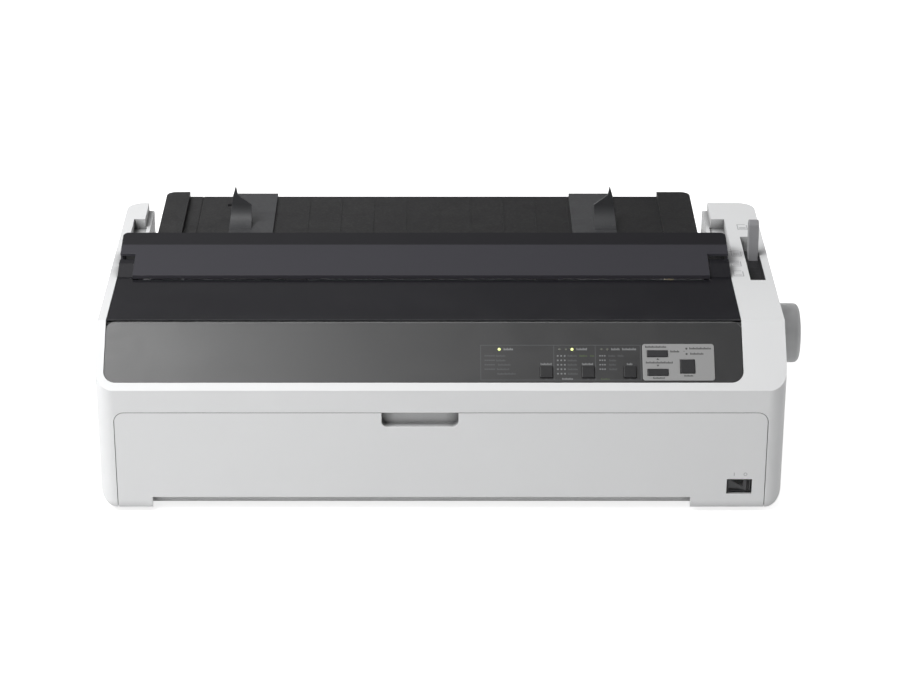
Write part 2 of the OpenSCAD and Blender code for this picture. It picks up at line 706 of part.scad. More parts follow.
// Front cover: a plate with a finger recess above, a cut-out below and hinge ears at its foot
module front_cover() color("whitesmoke") placed() {
    t = front_cover_t;
    ear = 8;
    half = front_cover_w / 2;
    grip_x0 = path_x - grip_w / 2;
    grip_x1 = path_x + grip_w / 2;
    difference() {
        along_y(0, t) intersection() {
            front_cover_outline(0);
            translate([-half, foot_h]) square([front_cover_w, front_cover_top]);
        }
        box([skirt_left, -over, foot_h - over], [skirt_right, t + over, foot_h + skirt_h]);
        along_y(-over, t + over) rounded([grip_x0, front_cover_top - grip_h],
            [grip_x1, front_cover_top + 3 * grip_h], 5);
        box([switch_x - switch_w / 2, -over, switch_z - switch_h / 2],
            [switch_x + switch_w / 2, t + over, switch_z + switch_h / 2]);
    }
    // Dish behind the finger recess
    deep = 7;
    difference() {
        along_y(t - 1, t + deep) rounded([grip_x0 - 2, front_cover_top - grip_h - 2],
            [grip_x1 + 2, front_cover_top + 2 * grip_h], 7);
        along_y(-over, t + deep - 2) rounded([grip_x0, front_cover_top - grip_h],
            [grip_x1, front_cover_top + 3 * grip_h], 5);
        box([grip_x0 - 4, -over, front_cover_top], [grip_x1 + 4, t + deep + over,
            front_cover_top + 3 * grip_h]);
    }
    for (s = [-1, 1]) {
        bar_x(min(s * half, s * (half - ear)), max(s * half, s * (half - ear)),
            [front_hinge_y, front_hinge_z], 6.4);
        bar_x(min(s * half, s * (half + pin_reach)) - (s < 0 ? 0 : 1),
            max(s * half, s * (half + pin_reach)) + (s < 0 ? 1 : 0), [front_hinge_y, front_hinge_z], pin_d);
    }
}

// Control panel: a dark plate in the slope with holes for the keys and lamps
module control_panel() color([0.27, 0.27, 0.28]) placed() difference() {
    on_slope() translate([0, 0, -panel_low - panel_t]) linear_extrude(panel_t) difference() {
        panel_outline(0, 0);
        translate([lid_x0 - over, -panel_top]) square([lid_x1 - lid_x0 + 2 * over, panel_r + 2 * over]);
    }
    for (k = KEYS) slope_block(k, -panel_low - panel_t - over, over, key_gap);
    for (x = concat(lit_lamps, dark_lamps)) on_slope() translate([x, -lamp_row, -panel_low - panel_t - over])
        cylinder(d = lamp_d + 0.1, h = panel_t + 2 * over);
}

// Light plate around the paper keys, lying on the panel
plate_top = 0.3;
module key_plate() color("darkgray") placed() difference() {
    on_slope() translate([0, 0, -panel_low]) linear_extrude(panel_low + plate_top)
        rounded([key_plate_x, -23 - key_plate_h], [key_plate_x + key_plate_w, -23], 2.5);
    for (k = PLATE_KEYS) slope_block(k, -panel_low - over, over + plate_top, key_gap);
}

module status_lamps() color("yellow") placed() on_slope()
    for (x = concat(lit_lamps, dark_lamps)) translate([x, -lamp_row, -board_gap - panel_low - panel_t])
        cylinder(d = lamp_d, h = board_gap + panel_t + 0.4);

// Board behind the panel with a switch under each key
module panel_board() color("seagreen") placed() {
    top = -panel_low - panel_t - board_gap;
    on_slope() {
        translate([30, -57.4, top - board_t]) cube([205, 39.4, board_t]);
        for (at = [[34, -54.6], [231, -54.6], [34, -20], [231, -20]]) translate([at[0], at[1], top - eps])
            cylinder(d = 4, h = board_gap + eps);
    }
    for (k = KEYS) slope_block([k[0], k[1], 6, 5.4], top - eps, top + 3.5);
}

// A key: cap, a flange that keeps it in the panel and a stem down to its switch
module panel_key(at) {
    seat = -panel_low - panel_t;
    proud = plate_top + 0.9;
    slope_block(at, seat - flange - key_travel, proud);
    slope_block(at, seat - flange - 0.1, seat - 0.1, flange);
    slope_block([at[0], at[1], 4, 4], seat - board_gap + 3.5 + key_travel + 0.1, seat);
}
module font_button() color("black") placed() panel_key(font_at);
module pitch_button() color("black") placed() panel_key(pitch_at);
module pause_button() color("black") placed() panel_key(pause_at);
module load_button() color("black") placed() panel_key(load_at);
module feed_button() color("black") placed() panel_key(feed_at);
module tear_button() color("black") placed() panel_key(tear_at);

// Power switch: a body behind the front wall with a pivot for the rocker
rocker_y = front_pocket;
rocker_w = switch_w - 5;
rocker_h = switch_h - 4.4;
rocker_r = 9.4;
rocker_pin = 2.4;
module switch_housing() color("black") placed() difference() {
    union() {
        box([switch_x - switch_w / 2 + 1.1, 3.6, switch_z - switch_h / 2 + 1.1],
            [switch_x + switch_w / 2 - 1.1, 24, switch_z + switch_h / 2 - 1.1]);
        box([switch_x - switch_w / 2 - 1, front_pocket - 1.6, switch_z - switch_h / 2 + 0.2],
            [switch_x + switch_w / 2 + 1, front_pocket, switch_z + switch_h / 2 - 0.2]);
    }
    box([switch_x - rocker_w / 2 - 0.5, 0, switch_z - rocker_h / 2 - 0.2],
        [switch_x + rocker_w / 2 + 0.5, 20, switch_z + rocker_h / 2 + 0.2]);
    bar_z(switch_z - rocker_h / 2 - 1.4, switch_z + rocker_h / 2 + 1.4, [switch_x, rocker_y],
        rocker_pin + 2 * pin_gap);
}

// Rocker that turns about an upright pin; its two faces meet at a shallow angle
rocker_a = 9;
module power_rocker() color([0.15, 0.15, 0.16]) placed() {
    z0 = switch_z - rocker_h / 2;
    translate([switch_x, rocker_y, z0]) linear_extrude(rocker_h) rotate(-rocker_a) polygon([
        [-rocker_w / 2 + 0.8, -rocker_r + 2.2], [0, -rocker_r + 3.4], [rocker_w / 2 - 0.8, -rocker_r + 2.2],
        [rocker_w / 2 - 2, 1], [0, 3.4], [-rocker_w / 2 + 2, 1]]);
    bar_z(z0 - 1.2, z0 + rocker_h + 1.2, [switch_x, rocker_y], rocker_pin);
}

// Steel plate on the floor of the case under the mechanism
module base_plate() color("silver") placed() difference() {
    box([frame_x0 - frame_t - foot_w, frame_y0 - 4, floor_z], [frame_x1 + frame_t + foot_w,
        frame_y1 + 8, plate_z]);
    for (at = FRAME_SCREWS) bar_z(floor_z - over, plate_z + over, at, screw_d + 0.4);
}

// Outline of a side frame, y against z
module frame_outline() {
    polygon([[frame_y0, plate_z], [frame_y1, plate_z], [frame_y1, tractor_z + 6], [tractor_y - 14, frame_top],
        [platen_y - 24, frame_top + 4], [rod_y, frame_top], [frame_y0 + 30, cartridge_z - 2.5],
        [frame_y0, cartridge_z - 2.5]]);
}

// Side frame: a steel plate with bores for the shafts, a foot flange and a cartridge shelf
module side_frame(x0, out) difference() {
    x1 = x0 + frame_t;
    foot = out < 0 ? [x0 - foot_w, x0 + eps] : [x1 - eps, x1 + foot_w];
    shelf = out < 0 ? [x0, x1 + foot_w] : [x0 - foot_w, x1];
    union() {
        along_x(x0, x1) frame_outline();
        box([foot[0], frame_y0, plate_z], [foot[1], frame_y1, plate_z + frame_t]);
        box([shelf[0], frame_y0, cartridge_z - 2.5], [shelf[1], frame_y0 + 30, cartridge_z]);
    }
    bar_x(x0 - over, x1 + over, platen_at, bush_d);
    bar_x(x0 - over, x1 + over, [rod_y, rod_z], rod_d);
    bar_x(x0 - over, x1 + over, tractor_at, tractor_shaft * sqrt(2) + 2 + 2 * run_gap);
    bar_x(x0 - over, x1 + over, rail_at, rail_d);
    // Lightening window
    along_x(x0 - over, x1 + over) rounded([belt_y + 34, plate_z + 18], [belt_y + 62, platen_z - 32], 6);
    for (at = FRAME_SCREWS) bar_z(plate_z - over, plate_z + frame_t + over, at, screw_d + 0.4);
}

module side_frame_left() color("silver") placed() side_frame(frame_x0 - frame_t, -1);

// The right frame also carries the idler's pin
module side_frame_right() color("silver") placed() {
    side_frame(frame_x1, 1);
    bar_x(frame_x1 + frame_t - eps, gear_x1 + 1.2, idler_at, pin_bore);
}

// Steel stay that ties the side frames together at the rear
module rear_stay() color("silver") placed() {
    box([frame_x0, frame_y1 - 20, 68], [frame_x1, frame_y1 - 18, 82]);
    box([frame_x0, frame_y1 - 18 - eps, 80], [frame_x1, frame_y1 - 6, 82]);
}

// Rod that carries the carriage, held in both side frames
module carriage_rod() color("lightgray") placed()
    bar_x(frame_x0 - frame_t - 1, frame_x1 + frame_t + 1, [rod_y, rod_z], rod_d - eps);

// Angled rail under the front of the carriage
module guide_rail() color("silver") placed() {
    box([frame_x0, rail_y, rail_z - 26], [frame_x1, rail_y + 2, rail_z]);
    box([frame_x0, rail_y + 2 - eps, rail_z - 2], [frame_x1, rail_y + 14, rail_z]);
}

// Curved guide under the platen that leads the paper around it
module paper_chute() color([0.2, 0.2, 0.21]) placed() {
    r = platen_r + chute_gap;
    from = 205;
    span = 120;
    wedge = [for (i = [0 : 3]) polar(2 * r, from + i * span / 3)];
    join = from + span - 2;
    along_x(frame_x0, frame_x1) {
        translate(platen_at) intersection() {
            difference() {
                circle(r + chute_t);
                circle(r);
            }
            polygon(concat([[0, 0]], wedge));
        }
        // Ramp from the tractors down to the platen
        polygon([platen_at + polar(r + chute_t - 0.2, join), platen_at + polar(r + 0.2, join),
            platen_at + [r + 14, -4], platen_at + [r + 14, -4 - chute_t]]);
    }
}

// Bushes of the platen shaft, one in each side frame
module platen_bushes() color("ivory") placed() for (x = [frame_x0 - frame_t, frame_x1]) difference() {
    union() {
        bar_x(x < 0 ? x : x - 1, x < 0 ? x + frame_t + 1 : x + frame_t, platen_at, bush_d - eps);
        bar_x(x < 0 ? x + frame_t : x - bush_t, x < 0 ? x + frame_t + bush_t : x, platen_at, bush_d + 4);
    }
    bar_x(x - bush_t - over, x + frame_t + bush_t + over, platen_at, shaft_d + 2 * run_gap);
}

module platen_shaft() color("silver") placed()
    bar_x(frame_x0 - frame_t - 4, knob_x0 + 14, platen_at, shaft_d);

module platen_rubber() color([0.1, 0.1, 0.1]) placed() difference() {
    bar_x(path_x - platen_len / 2, path_x + platen_len / 2, platen_at, platen_d);
    bar_x(path_x - platen_len / 2 - over, path_x + platen_len / 2 + over, platen_at, shaft_d);
}

module platen_gear() color("ivory") placed()
    feed_gear(platen_teeth, platen_phase, platen_at, shaft_d + 8, shaft_d);

// Knob on the end of the platen shaft
module platen_knob() color([0.66, 0.67, 0.68]) placed() {
    rim = 5;
    r = knob_d / 2;
    translate([knob_x0, platen_y, platen_z]) rotate([0, 90, 0]) rotate_extrude($fn = 96) difference() {
        union() {
            square([r - rim, knob_x1 - knob_x0]);
            square([r, knob_x1 - knob_x0 - rim]);
            translate([r - rim, knob_x1 - knob_x0 - rim]) circle(rim);
        }
        translate([-rim - r, -over]) square([r + rim, 3 * knob_x1]);
        translate([0, -over]) square([shaft_d / 2, 14 + over]);
    }
}

// Stepping motor of the paper feed on four posts outside the right frame
motor_side = 42;
module feed_motor() color("dimgray") placed() difference() {
    x0 = gear_x1 + 2;
    half = motor_side / 2;
    union() {
        translate([0, pinion_at[0], pinion_at[1]]) along_x(x0, x0 + 30)
            rounded([-half, -half], [half, half], 5);
        for (y = [-1, 1], z = [-1, 1]) if (y > 0 || z < 0)
            bar_x(frame_x1 + frame_t, x0 + eps, pinion_at + [y, z] * (half - 5), 6);
    }
    bar_x(x0 - over, x0 + 20, pinion_at, pin_bore + 2 * run_gap);
}

module feed_pinion() color("goldenrod") placed() {
    along_x(gear_x0, gear_x1) translate(pinion_at) gear_outline(pinion_teeth, pinion_phase);
    bar_x(gear_x1 - eps, gear_x1 + 14, pinion_at, pin_bore);
}

module idler_gear() color("ivory") placed()
    feed_gear(idler_teeth, idler_phase, idler_at, pin_bore + 6, pin_bore + 2 * run_gap);

// Square bar that turns the tractors, round where the frames carry it
module tractor_shaft_bar() color("silver") placed() {
    along_x(frame_x0 + 2, frame_x1 - 2) translate(tractor_at) square(tractor_shaft, center = true);
    for (x = [[frame_x0 - frame_t - 2, frame_x0 + 2 + eps], [frame_x1 - 2 - eps, gear_x1 + 2]])
        bar_x(x[0], x[1], tractor_at, tractor_shaft * sqrt(2) + 2);
}

module tractor_gear() color("ivory") placed()
    feed_gear(tractor_teeth, tractor_phase, tractor_at, tractor_shaft * sqrt(2) + 8,
        tractor_shaft * sqrt(2) + 2);

module tractor_rail() color("silver") placed()
    bar_x(frame_x0 - frame_t - 1, frame_x1 + frame_t + 1, rail_at, rail_d - eps);

// Place of the pin covers' hinges, in from the tractor's side and above its top
ear_in = 1.8;
ear_up = 1.6;
// Room around the square shaft's corners as it turns
shaft_room = 0.3;
// Tractor: a body on the square shaft and the rail, with a row of feed pins on top
module tractor(x, out) difference() {
    x0 = x - tractor_w / 2;
    x1 = x + tractor_w / 2;
    union() {
        along_x(x0, x1) rounded([tractor_y - tractor_len / 2 + 2, tractor_z - 17],
            [tractor_y + tractor_len / 2 + 2, tractor_top], 8);
        // Hinge ears of the pin cover
        for (y = [-1, 1]) bar_y(tractor_y + 2 + y * 15 - 2, tractor_y + 2 + y * 15 + 2,
            [x + out * (tractor_w / 2 - ear_in), tractor_top + ear_up], 3.4);
        for (i = [-1 : 1]) bar_z(tractor_top - eps, tractor_top + 2, [x - out * 2,
            tractor_y + 2 + i * sprocket_pitch], 3);
    }
    bar_x(x0 - over, x1 + over, tractor_at, tractor_shaft * sqrt(2) + 2 * shaft_room);
    bar_x(x0 - over, x1 + over, rail_at, rail_d + 4 * run_gap);
    for (y = [-1, 1]) bar_y(tractor_y + 2 + y * 15 - 3, tractor_y + 2 + y * 15 + 3,
        [x + out * (tractor_w / 2 - ear_in), tractor_top + ear_up], 1.6 + 2 * pin_gap);
}
module tractor_left() color([0.2, 0.2, 0.22]) placed() tractor(tractor_lx, -1);
module tractor_right() color([0.2, 0.2, 0.22]) placed() tractor(tractor_rx, 1);

// Pin cover of a tractor, with slots over the feed pins
module tractor_cover(x, out) {
    hinge_x = x + out * (tractor_w / 2 - ear_in);
    hinge_z = tractor_top + ear_up;
    low = tractor_top + 3.6;
    side = hinge_x + out * 1.6;
    edge = x - out * tractor_w / 2;
    difference() {
        union() {
            box([min(side, edge), tractor_y - 18, low], [max(side, edge), tractor_y + 22, low + 1.8]);
            bar_y(tractor_y - 10, tractor_y + 14, [hinge_x, hinge_z], 3);
            box([hinge_x - 1.2, tractor_y - 10, hinge_z], [hinge_x + 1.2, tractor_y + 14, low + eps]);
        }
        for (i = [-1 : 1]) bar_z(tractor_top, low + 3, [x - out * 2,
            tractor_y + 2 + i * sprocket_pitch], 4.4);
    }
    bar_y(tractor_y + 2 - 17.5, tractor_y + 2 + 17.5, [hinge_x, hinge_z], 1.6);
}
module tractor_cover_left() color([0.3, 0.3, 0.32]) placed() tractor_cover(tractor_lx, -1);
module tractor_cover_right() color([0.3, 0.3, 0.32]) placed() tractor_cover(tractor_rx, 1);

// Stepping motor under the belt's right end
module carriage_motor() color("dimgray") placed() difference() {
    half = carriage_side / 2;
    translate([drive_x, belt_y, plate_z]) linear_extrude(belt_z - 2.5 - plate_z)
        rounded([-half, -half], [half, half], 6);
    bar_z(plate_z + 8, belt_z, [drive_x, belt_y], pin_bore + 2 * run_gap);
}

// A belt pulley with two rims; bore or shaft is added by the caller
module pulley(x) {
    core = pulley_r - belt_t / 2 - run_gap;
    bar_z(belt_z - 1.4, belt_z + belt_w + 1.4, [x, belt_y], 2 * core);
    for (z = [belt_z - 1.8, belt_z + belt_w + 0.4]) bar_z(z, z + 1.4, [x, belt_y], 2 * pulley_r + 2);
}

module drive_pulley() color("silver") placed() {
    pulley(drive_x);
    bar_z(plate_z + 10, belt_z, [drive_x, belt_y], pin_bore);
}

// Bracket with an upright pin for the idler pulley
module idler_bracket() color("silver") placed() {
    half = 13;
    translate([idler_x, belt_y, plate_z]) linear_extrude(3) rounded([-half, -half], [half, half], 3);
    bar_z(plate_z + 3 - eps, belt_z - 2.5, [idler_x, belt_y], 12);
    bar_z(belt_z - 3, belt_z + belt_w + 3, [idler_x, belt_y], pin_bore);
}

module idler_pulley() color("silver") placed() difference() {
    pulley(idler_x);
    bar_z(belt_z - 4, belt_z + belt_w + 4, [idler_x, belt_y], pin_bore + 2 * run_gap);
}

// Toothed belt around both pulleys
module timing_belt() color([0.1, 0.1, 0.1]) placed() {
    translate([0, belt_y, belt_z]) linear_extrude(belt_w) difference() {
        union() {
            for (x = [idler_x, drive_x]) translate([x, 0]) circle(pulley_r + belt_t / 2);
            translate([idler_x, -pulley_r - belt_t / 2]) square([drive_x - idler_x, 2 * pulley_r + belt_t]);
        }
        for (x = [idler_x, drive_x]) translate([x, 0]) circle(pulley_r - belt_t / 2);
        translate([idler_x, -pulley_r + belt_t / 2]) square([drive_x - idler_x, 2 * pulley_r - belt_t]);
    }
}

// Carriage: slides on the rod, rests on the rail and holds the belt
module carriage() color([0.16, 0.16, 0.17]) placed() difference() {
    x0 = home_x - carriage_w / 2;
    x1 = home_x + carriage_w / 2;
    belt_back = belt_y + pulley_r + belt_t / 2;
    union() {
        box([x0, rail_y + 8, rail_z + slide_gap], [x1, head_y1 - 8, carriage_z1]);
        box([x0, rail_y + 18, carriage_z0], [x1, head_y1 - 8, carriage_z1]);
        // Lug that holds the rear run of the belt
        box([home_x - 8, belt_back + slide_gap, belt_z - 1], [home_x + 8, belt_back + 8, carriage_z0 + over]);
        // Arms below the ribbon that carry the ribbon mask
        for (x = [-16, 13])
            box([home_x + x, head_y1 - 10, carriage_z1 - 3], [home_x + x + 3, mask_y, ribbon_z0 - 3]);
        box([home_x - 16, mask_y - eps, carriage_z1 - 3], [home_x + 16, mask_y + 0.6, ribbon_z1 + 4]);
    }
    bar_x(x0 - over, x1 + over, [rod_y, rod_z], rod_d + 2 * run_gap);
    box([home_x - 4, mask_y - over, platen_z - 3], [home_x + 4, mask_y + over, platen_z + 4]);
    for (x = [-22, 22]) bar_z(carriage_z1 - 6, carriage_z1 + over, [home_x + x, head_y1 - 20], 3);
}

// Print head: a finned body with a nose that reaches the ribbon
module print_head() color("silver") placed() {
    x0 = home_x - 20;
    fins = 6;
    pitch = 40 / (2 * fins - 1);
    front = head_y1 - 42;
    for (i = [0 : fins - 1]) box([x0 + 2 * i * pitch, front, carriage_z1],
        [x0 + (2 * i + 1) * pitch, front + 26, carriage_z1 + 30]);
    box([x0, front, carriage_z1], [x0 + 40, front + 26, carriage_z1 + 8]);
    bar_y(front + 22, head_y1 - 10, [home_x, platen_z], 28);
    box([home_x - 5, head_y1 - 10 - eps, platen_z - 6], [home_x + 5, head_y1, platen_z + 7]);
}

// Ribbon cartridge: a long box in front of the carriage with an arm at each end
module ribbon_cartridge() color([0.13, 0.13, 0.14]) placed() {
    back = rail_y - 6;
    translate([0, 0, cartridge_z]) linear_extrude(22) {
        rounded([cartridge_x0, frame_y0 + 2], [cartridge_x1, back], 4);
        for (x = [cartridge_x0, cartridge_x1 - arm_w]) translate([x, back - 6])
            square([arm_w, ribbon_y + 3 - back + 6]);
    }
    bar_z(cartridge_z + 22 - eps, cartridge_z + 27, [cartridge_x0 + 22, frame_y0 + 16], 16);
}

module ink_ribbon() color([0.05, 0.05, 0.06]) placed()
    box([cartridge_x0 + arm_w, ribbon_y, ribbon_z0], [cartridge_x1 - arm_w, ribbon_y + ribbon_t, ribbon_z1]);

// Boards on posts over the base plate
post_h = 5;
module board(a, b, parts) {
    z = plate_z + post_h;
    box([a[0], a[1], z], [b[0], b[1], z + board_t]);
    for (x = [a[0] + 4, b[0] - 4], y = [a[1] + 4, b[1] - 4]) bar_z(plate_z, z + eps, [x, y], 6);
    for (p = parts) box([p[0], p[1], z + board_t - eps], [p[0] + p[2], p[1] + p[3], z + board_t + p[4]]);
}
board_top = plate_z + post_h + board_t;

module main_board() color("seagreen") placed() board([frame_x0 + 8, 190], [frame_x0 + 290, 266], [
    [frame_x0 + 40, 208, 28, 28, 3], [frame_x0 + 90, 205, 18, 34, 3], [frame_x0 + 130, 205, 18, 34, 3],
    [frame_x0 + 180, 200, 24, 12, 4], [frame_x0 + 230, 204, 8, 50, 9]]);

module power_board() color("peru") placed() {
    x = frame_x0 + 300;
    board([x, 124], [x + 120, 256], [[x + 14, 132, 40, 34, 30], [x + 70, 130, 4, 110, 32],
        [x + 84, 132, 22, 18, 16], [x + 14, 214, 28, 20, 14]]);
    for (y = [182, 206]) bar_z(board_top - eps, board_top + 32, [x + 96, y], 20);
}

// Sockets in the rear wall, each on a foot that reaches the floor
parallel_x = -172;
parallel_w = 62;
parallel_h = 15;
usb_x = -112;
usb_w = 13;
usb_h = 12;
inlet_x = 150;
inlet_w = 28;
inlet_h = 21;
socket_z = floor_z + 8;
inlet_z = floor_z + 4;
module socket(x, z, w, h, depth, rim) {
    y1 = case_d;
    difference() {
        box([x - w / 2 + 0.3, y1 - depth, z + 0.3], [x + w / 2 - 0.3, y1 + 0.4, z + h - 0.3]);
        box([x - w / 2 + rim, y1 - depth + 3, z + rim], [x + w / 2 - rim, y1 + over, z + h - rim]);
    }
    box([x - w / 2 - 3, y1 - wall - 2, floor_z], [x + w / 2 + 3, y1 - wall, z + 0.3 + eps]);
}
module parallel_socket() color("silver") placed() {
    socket(parallel_x, socket_z, parallel_w, parallel_h, 18, 2);
    box([parallel_x - parallel_w / 2 + 8, case_d - 16, socket_z + 3.6],
        [parallel_x + parallel_w / 2 - 8, case_d - 3, socket_z + 5.6]);
}
module usb_socket() color("silver") placed() {
    socket(usb_x, socket_z, usb_w, usb_h, 16, 1.2);
    box([usb_x - 3, case_d - 14, socket_z + 2.4], [usb_x + 3, case_d - 3, socket_z + 4.4]);
}
module power_inlet() color([0.12, 0.12, 0.12]) placed() {
    socket(inlet_x, inlet_z, inlet_w, inlet_h, 26, 3);
    for (x = [-7, 0, 7])
        box([inlet_x + x - 1, case_d - 24, inlet_z + 11], [inlet_x + x + 1, case_d - 6, inlet_z + 14]);
}

// Paper guide: a plate with raised wings, hinged in the walls of the rear bay
rib_h = 0.4;
module paper_guide() color([0.13, 0.13, 0.14]) placed() {
    low = guide_h - guide_t;
    groove_x = guide_left + 35.7;
    plate = [[mid_x0, mid_x1, guide_h], [guide_left, mid_x0, wing_z], [mid_x1, guide_right, wing_z]];
    corner = 9;
    difference() {
      intersection() {
        union() {
            for (p = plate) box([p[0], guide_y0, p[2] - guide_t], [p[1], guide_end, p[2]]);
            for (x = [mid_x0 - guide_t, mid_x1]) box([x, guide_y0, low], [x + guide_t, guide_end, wing_z]);
            // Turned-down rear edge
            for (p = plate) box([p[0], guide_end - 2.4, low - 6], [p[1], guide_end, p[2] - guide_t + over]);
        }
        linear_extrude(case_h + 50) union() {
            rounded([guide_left, guide_y0 + 3 * corner], [guide_right, guide_end], corner);
            translate([guide_left, guide_y0]) square([guide_right - guide_left, 6 * corner]);
        }
      }
      // Score line and a latch hole left of the paper's way
      box([groove_x, guide_y0 - over, guide_h - 0.6], [groove_x + 0.9, guide_end + over, guide_h + 1]);
      box([groove_x + 26, case_d + 44, low - over], [groove_x + 30, case_d + 50, guide_h + over]);
    }
    for (i = [-6 : 5]) {
        x = path_x + 16 + 32 * i;
        box([x - 0.5, edge_y0, guide_h - eps], [x + 0.5, guide_end - 6, guide_h + rib_h]);
    }
    // Stops on the rear deck
    for (x = [mid_x0 + 30, path_x, mid_x1 - 30])
        box([x - 1.5, pocket_y1 + 14, deck_h], [x + 1.5, case_d - 8, low + over]);
    // Hinge ears and pins
    for (s = [0, 1]) {
        x0 = s == 0 ? guide_left : guide_right - 6;
        bar_x(x0, x0 + 6, [guide_hinge_y, guide_hinge_z], 10);
        box([x0, guide_hinge_y - 5, guide_hinge_z], [x0 + 6, guide_hinge_y + 5, wing_z - over]);
        bar_x(s == 0 ? pocket_l1 + 0.3 : guide_right - over, s == 0 ? guide_left + over : pocket_r0 - 0.3,
            [guide_hinge_y, guide_hinge_z], pin_d);
    }
}

// Edge guide: a plate that slides across the guide, with a scooped stop on its outer half
module edge_guide(x0, out) {
    low = guide_h + rib_h + slide_gap;
    half = edge_w / 2;
    a = out < 0 ? x0 : x0 + edge_w - half;
    r = 18;
    t = 2;
    foot = 0.5;
    box([x0, edge_y0, low], [x0 + edge_w, guide_end + edge_over, edge_z]);
    box([x0, guide_end + slide_gap, guide_h - 9], [x0 + edge_w, guide_end + edge_over, low + eps]);
    // Scooped stop, lower towards the paper, with a spike near its outer edge
    intersection() {
        along_x(a, a + half) difference() {
            translate([stop_y - r, edge_z - 1]) square([r + t, stop_high + 1]);
            translate([stop_y - r, edge_z + foot + r]) circle(r);
            translate([stop_y - r - 1, edge_z + foot + r]) square([r + 1, stop_high]);
            translate([stop_y - r - 1, edge_z + foot]) square([1, stop_high]);
        }
        along_y(edge_y0, guide_end) translate([out < 0 ? a + half : a, edge_z]) scale([out, 1])
            polygon([[0, -3], [0, stop_low], [0.7, stop_low + 0.7], [half - 8.3, stop_low + 10.2],
                [half - 6.8, stop_high], [half - 6.2, stop_high], [half - 3.5, stop_low + 9.3],
                [half, 2], [half, -3]]);
    }
}
module edge_guide_left() color([0.43, 0.44, 0.45]) placed() edge_guide(edge_lx, -1);
module edge_guide_right() color([0.43, 0.44, 0.45]) placed() edge_guide(edge_rx, 1);

// Release lever: a hub on the case's pin and a tapering arm through the slot
module release_lever() color([0.56, 0.56, 0.57]) placed() difference() {
    reach = (lever_top - lever_z) / cos(lever_lean);
    union() {
        bar_x(lever_x0, lever_x0 + lever_w, [lever_y, lever_z], lever_hub);
        along_x(lever_x0, lever_x0 + lever_w) translate([lever_y, lever_z]) rotate(-lever_lean) polygon([
            [-6.5, 0], [-5, reach - 36], [-5, reach - 4], [-2, reach], [2, reach], [5, reach - 4],
            [5, reach - 36], [6.5, 0]]);
    }
    bar_x(lever_x0 - over, lever_x0 + lever_w + over, [lever_y, lever_z], lever_pin + 2 * pin_gap);
}

lower_case();
upper_case();
rubber_feet();
frame_screws();
front_inner_panel();
control_panel();
key_plate();
status_lamps();
panel_board();
switch_housing();
power_rocker();
font_button();
pitch_button();
pause_button();
load_button();
feed_button();
tear_button();
base_plate();
side_frame_left();
side_frame_right();
rear_stay();
carriage_rod();
guide_rail();
paper_chute();
platen_bushes();
platen_shaft();
platen_rubber();
platen_gear();
platen_knob();
feed_motor();
feed_pinion();
idler_gear();
tractor_shaft_bar();
tractor_gear();
tractor_rail();
tractor_left();
tractor_right();
tractor_cover_left();
tractor_cover_right();
carriage_motor();
drive_pulley();
idler_bracket();
idler_pulley();
timing_belt();
carriage();
print_head();
ribbon_cartridge();
ink_ribbon();
main_board();
power_board();
power_inlet();
parallel_socket();
usb_socket();
printer_cover();
tear_off_flap();
front_cover();
paper_guide();
edge_guide_left();
edge_guide_right();
release_lever();
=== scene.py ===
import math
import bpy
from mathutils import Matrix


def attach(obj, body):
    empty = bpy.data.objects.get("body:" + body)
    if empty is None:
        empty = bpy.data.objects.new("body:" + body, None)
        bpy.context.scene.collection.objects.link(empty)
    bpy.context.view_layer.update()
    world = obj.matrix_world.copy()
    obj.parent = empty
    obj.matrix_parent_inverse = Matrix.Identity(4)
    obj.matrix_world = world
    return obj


bl_info = {
    "name": "Dot Matrix Printer",
    "version": (1, 0, 0),
    "blender": (4, 5, 0),
    "location": "3D View > Sidebar > Printer",
    "description": "Dresses the packed solids of a wide dot matrix printer and lights it",
    "category": "Object",
}

import bmesh
import bpy
from mathutils import Matrix, Vector

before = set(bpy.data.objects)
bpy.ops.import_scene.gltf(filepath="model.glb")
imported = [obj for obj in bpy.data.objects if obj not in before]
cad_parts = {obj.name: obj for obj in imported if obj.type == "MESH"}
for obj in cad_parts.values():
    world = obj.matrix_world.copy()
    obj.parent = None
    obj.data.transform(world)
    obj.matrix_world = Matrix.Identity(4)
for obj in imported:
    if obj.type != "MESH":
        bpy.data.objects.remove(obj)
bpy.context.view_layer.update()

# The case frame of the solids in metres: X from the body's centre, Y back from the front face, Z up
CASE_X = -0.01425
CASE_Y = -0.2005
# The control panel's slope: its angle, and its top edge as Y and Z in mm
SLOPE = math.atan2(0.0455, 0.050)
SLOPE_TOP = (50, 166)


def place(x, y, z):
    """A point of the case frame, given in millimetres, as a point of the model in metres."""
    return Vector((x / 1000 + CASE_X, y / 1000 + CASE_Y, z / 1000))


# Where the flap's rear strip begins in metres, past which its colour is painted darker as shade, the lever's
# axis as Y and Z in mm, the height below which the lever is black in metres, and the top of the main board
# in mm
RIDGE_Y = place(0, 189.4, 0).y
LEVER_PIVOT = (190.5, 96.0)
LEVER_DARK = 0.157
BOARD_TOP = 16.61


def on_panel(x, t, h=0.0):
    """A point on the sloped panel: x across, t down the slope from its top edge and h outwards, in mm."""
    y = SLOPE_TOP[0] - t * math.cos(SLOPE) - h * math.sin(SLOPE)
    z = SLOPE_TOP[1] - t * math.sin(SLOPE) + h * math.cos(SLOPE)
    return place(x, y, z)


def colour_setting(name, description, default):
    return bpy.props.FloatVectorProperty(
        name=name, description=description, subtype="COLOR", size=3, min=0, max=1, default=default)


def number_setting(name, description, default, low, high, **kind):
    """A number with its range; a length unless kind says otherwise."""
    return bpy.props.FloatProperty(
        name=name, description=description, default=default, min=low, max=high,
        **(kind or {"unit": "LENGTH"}))


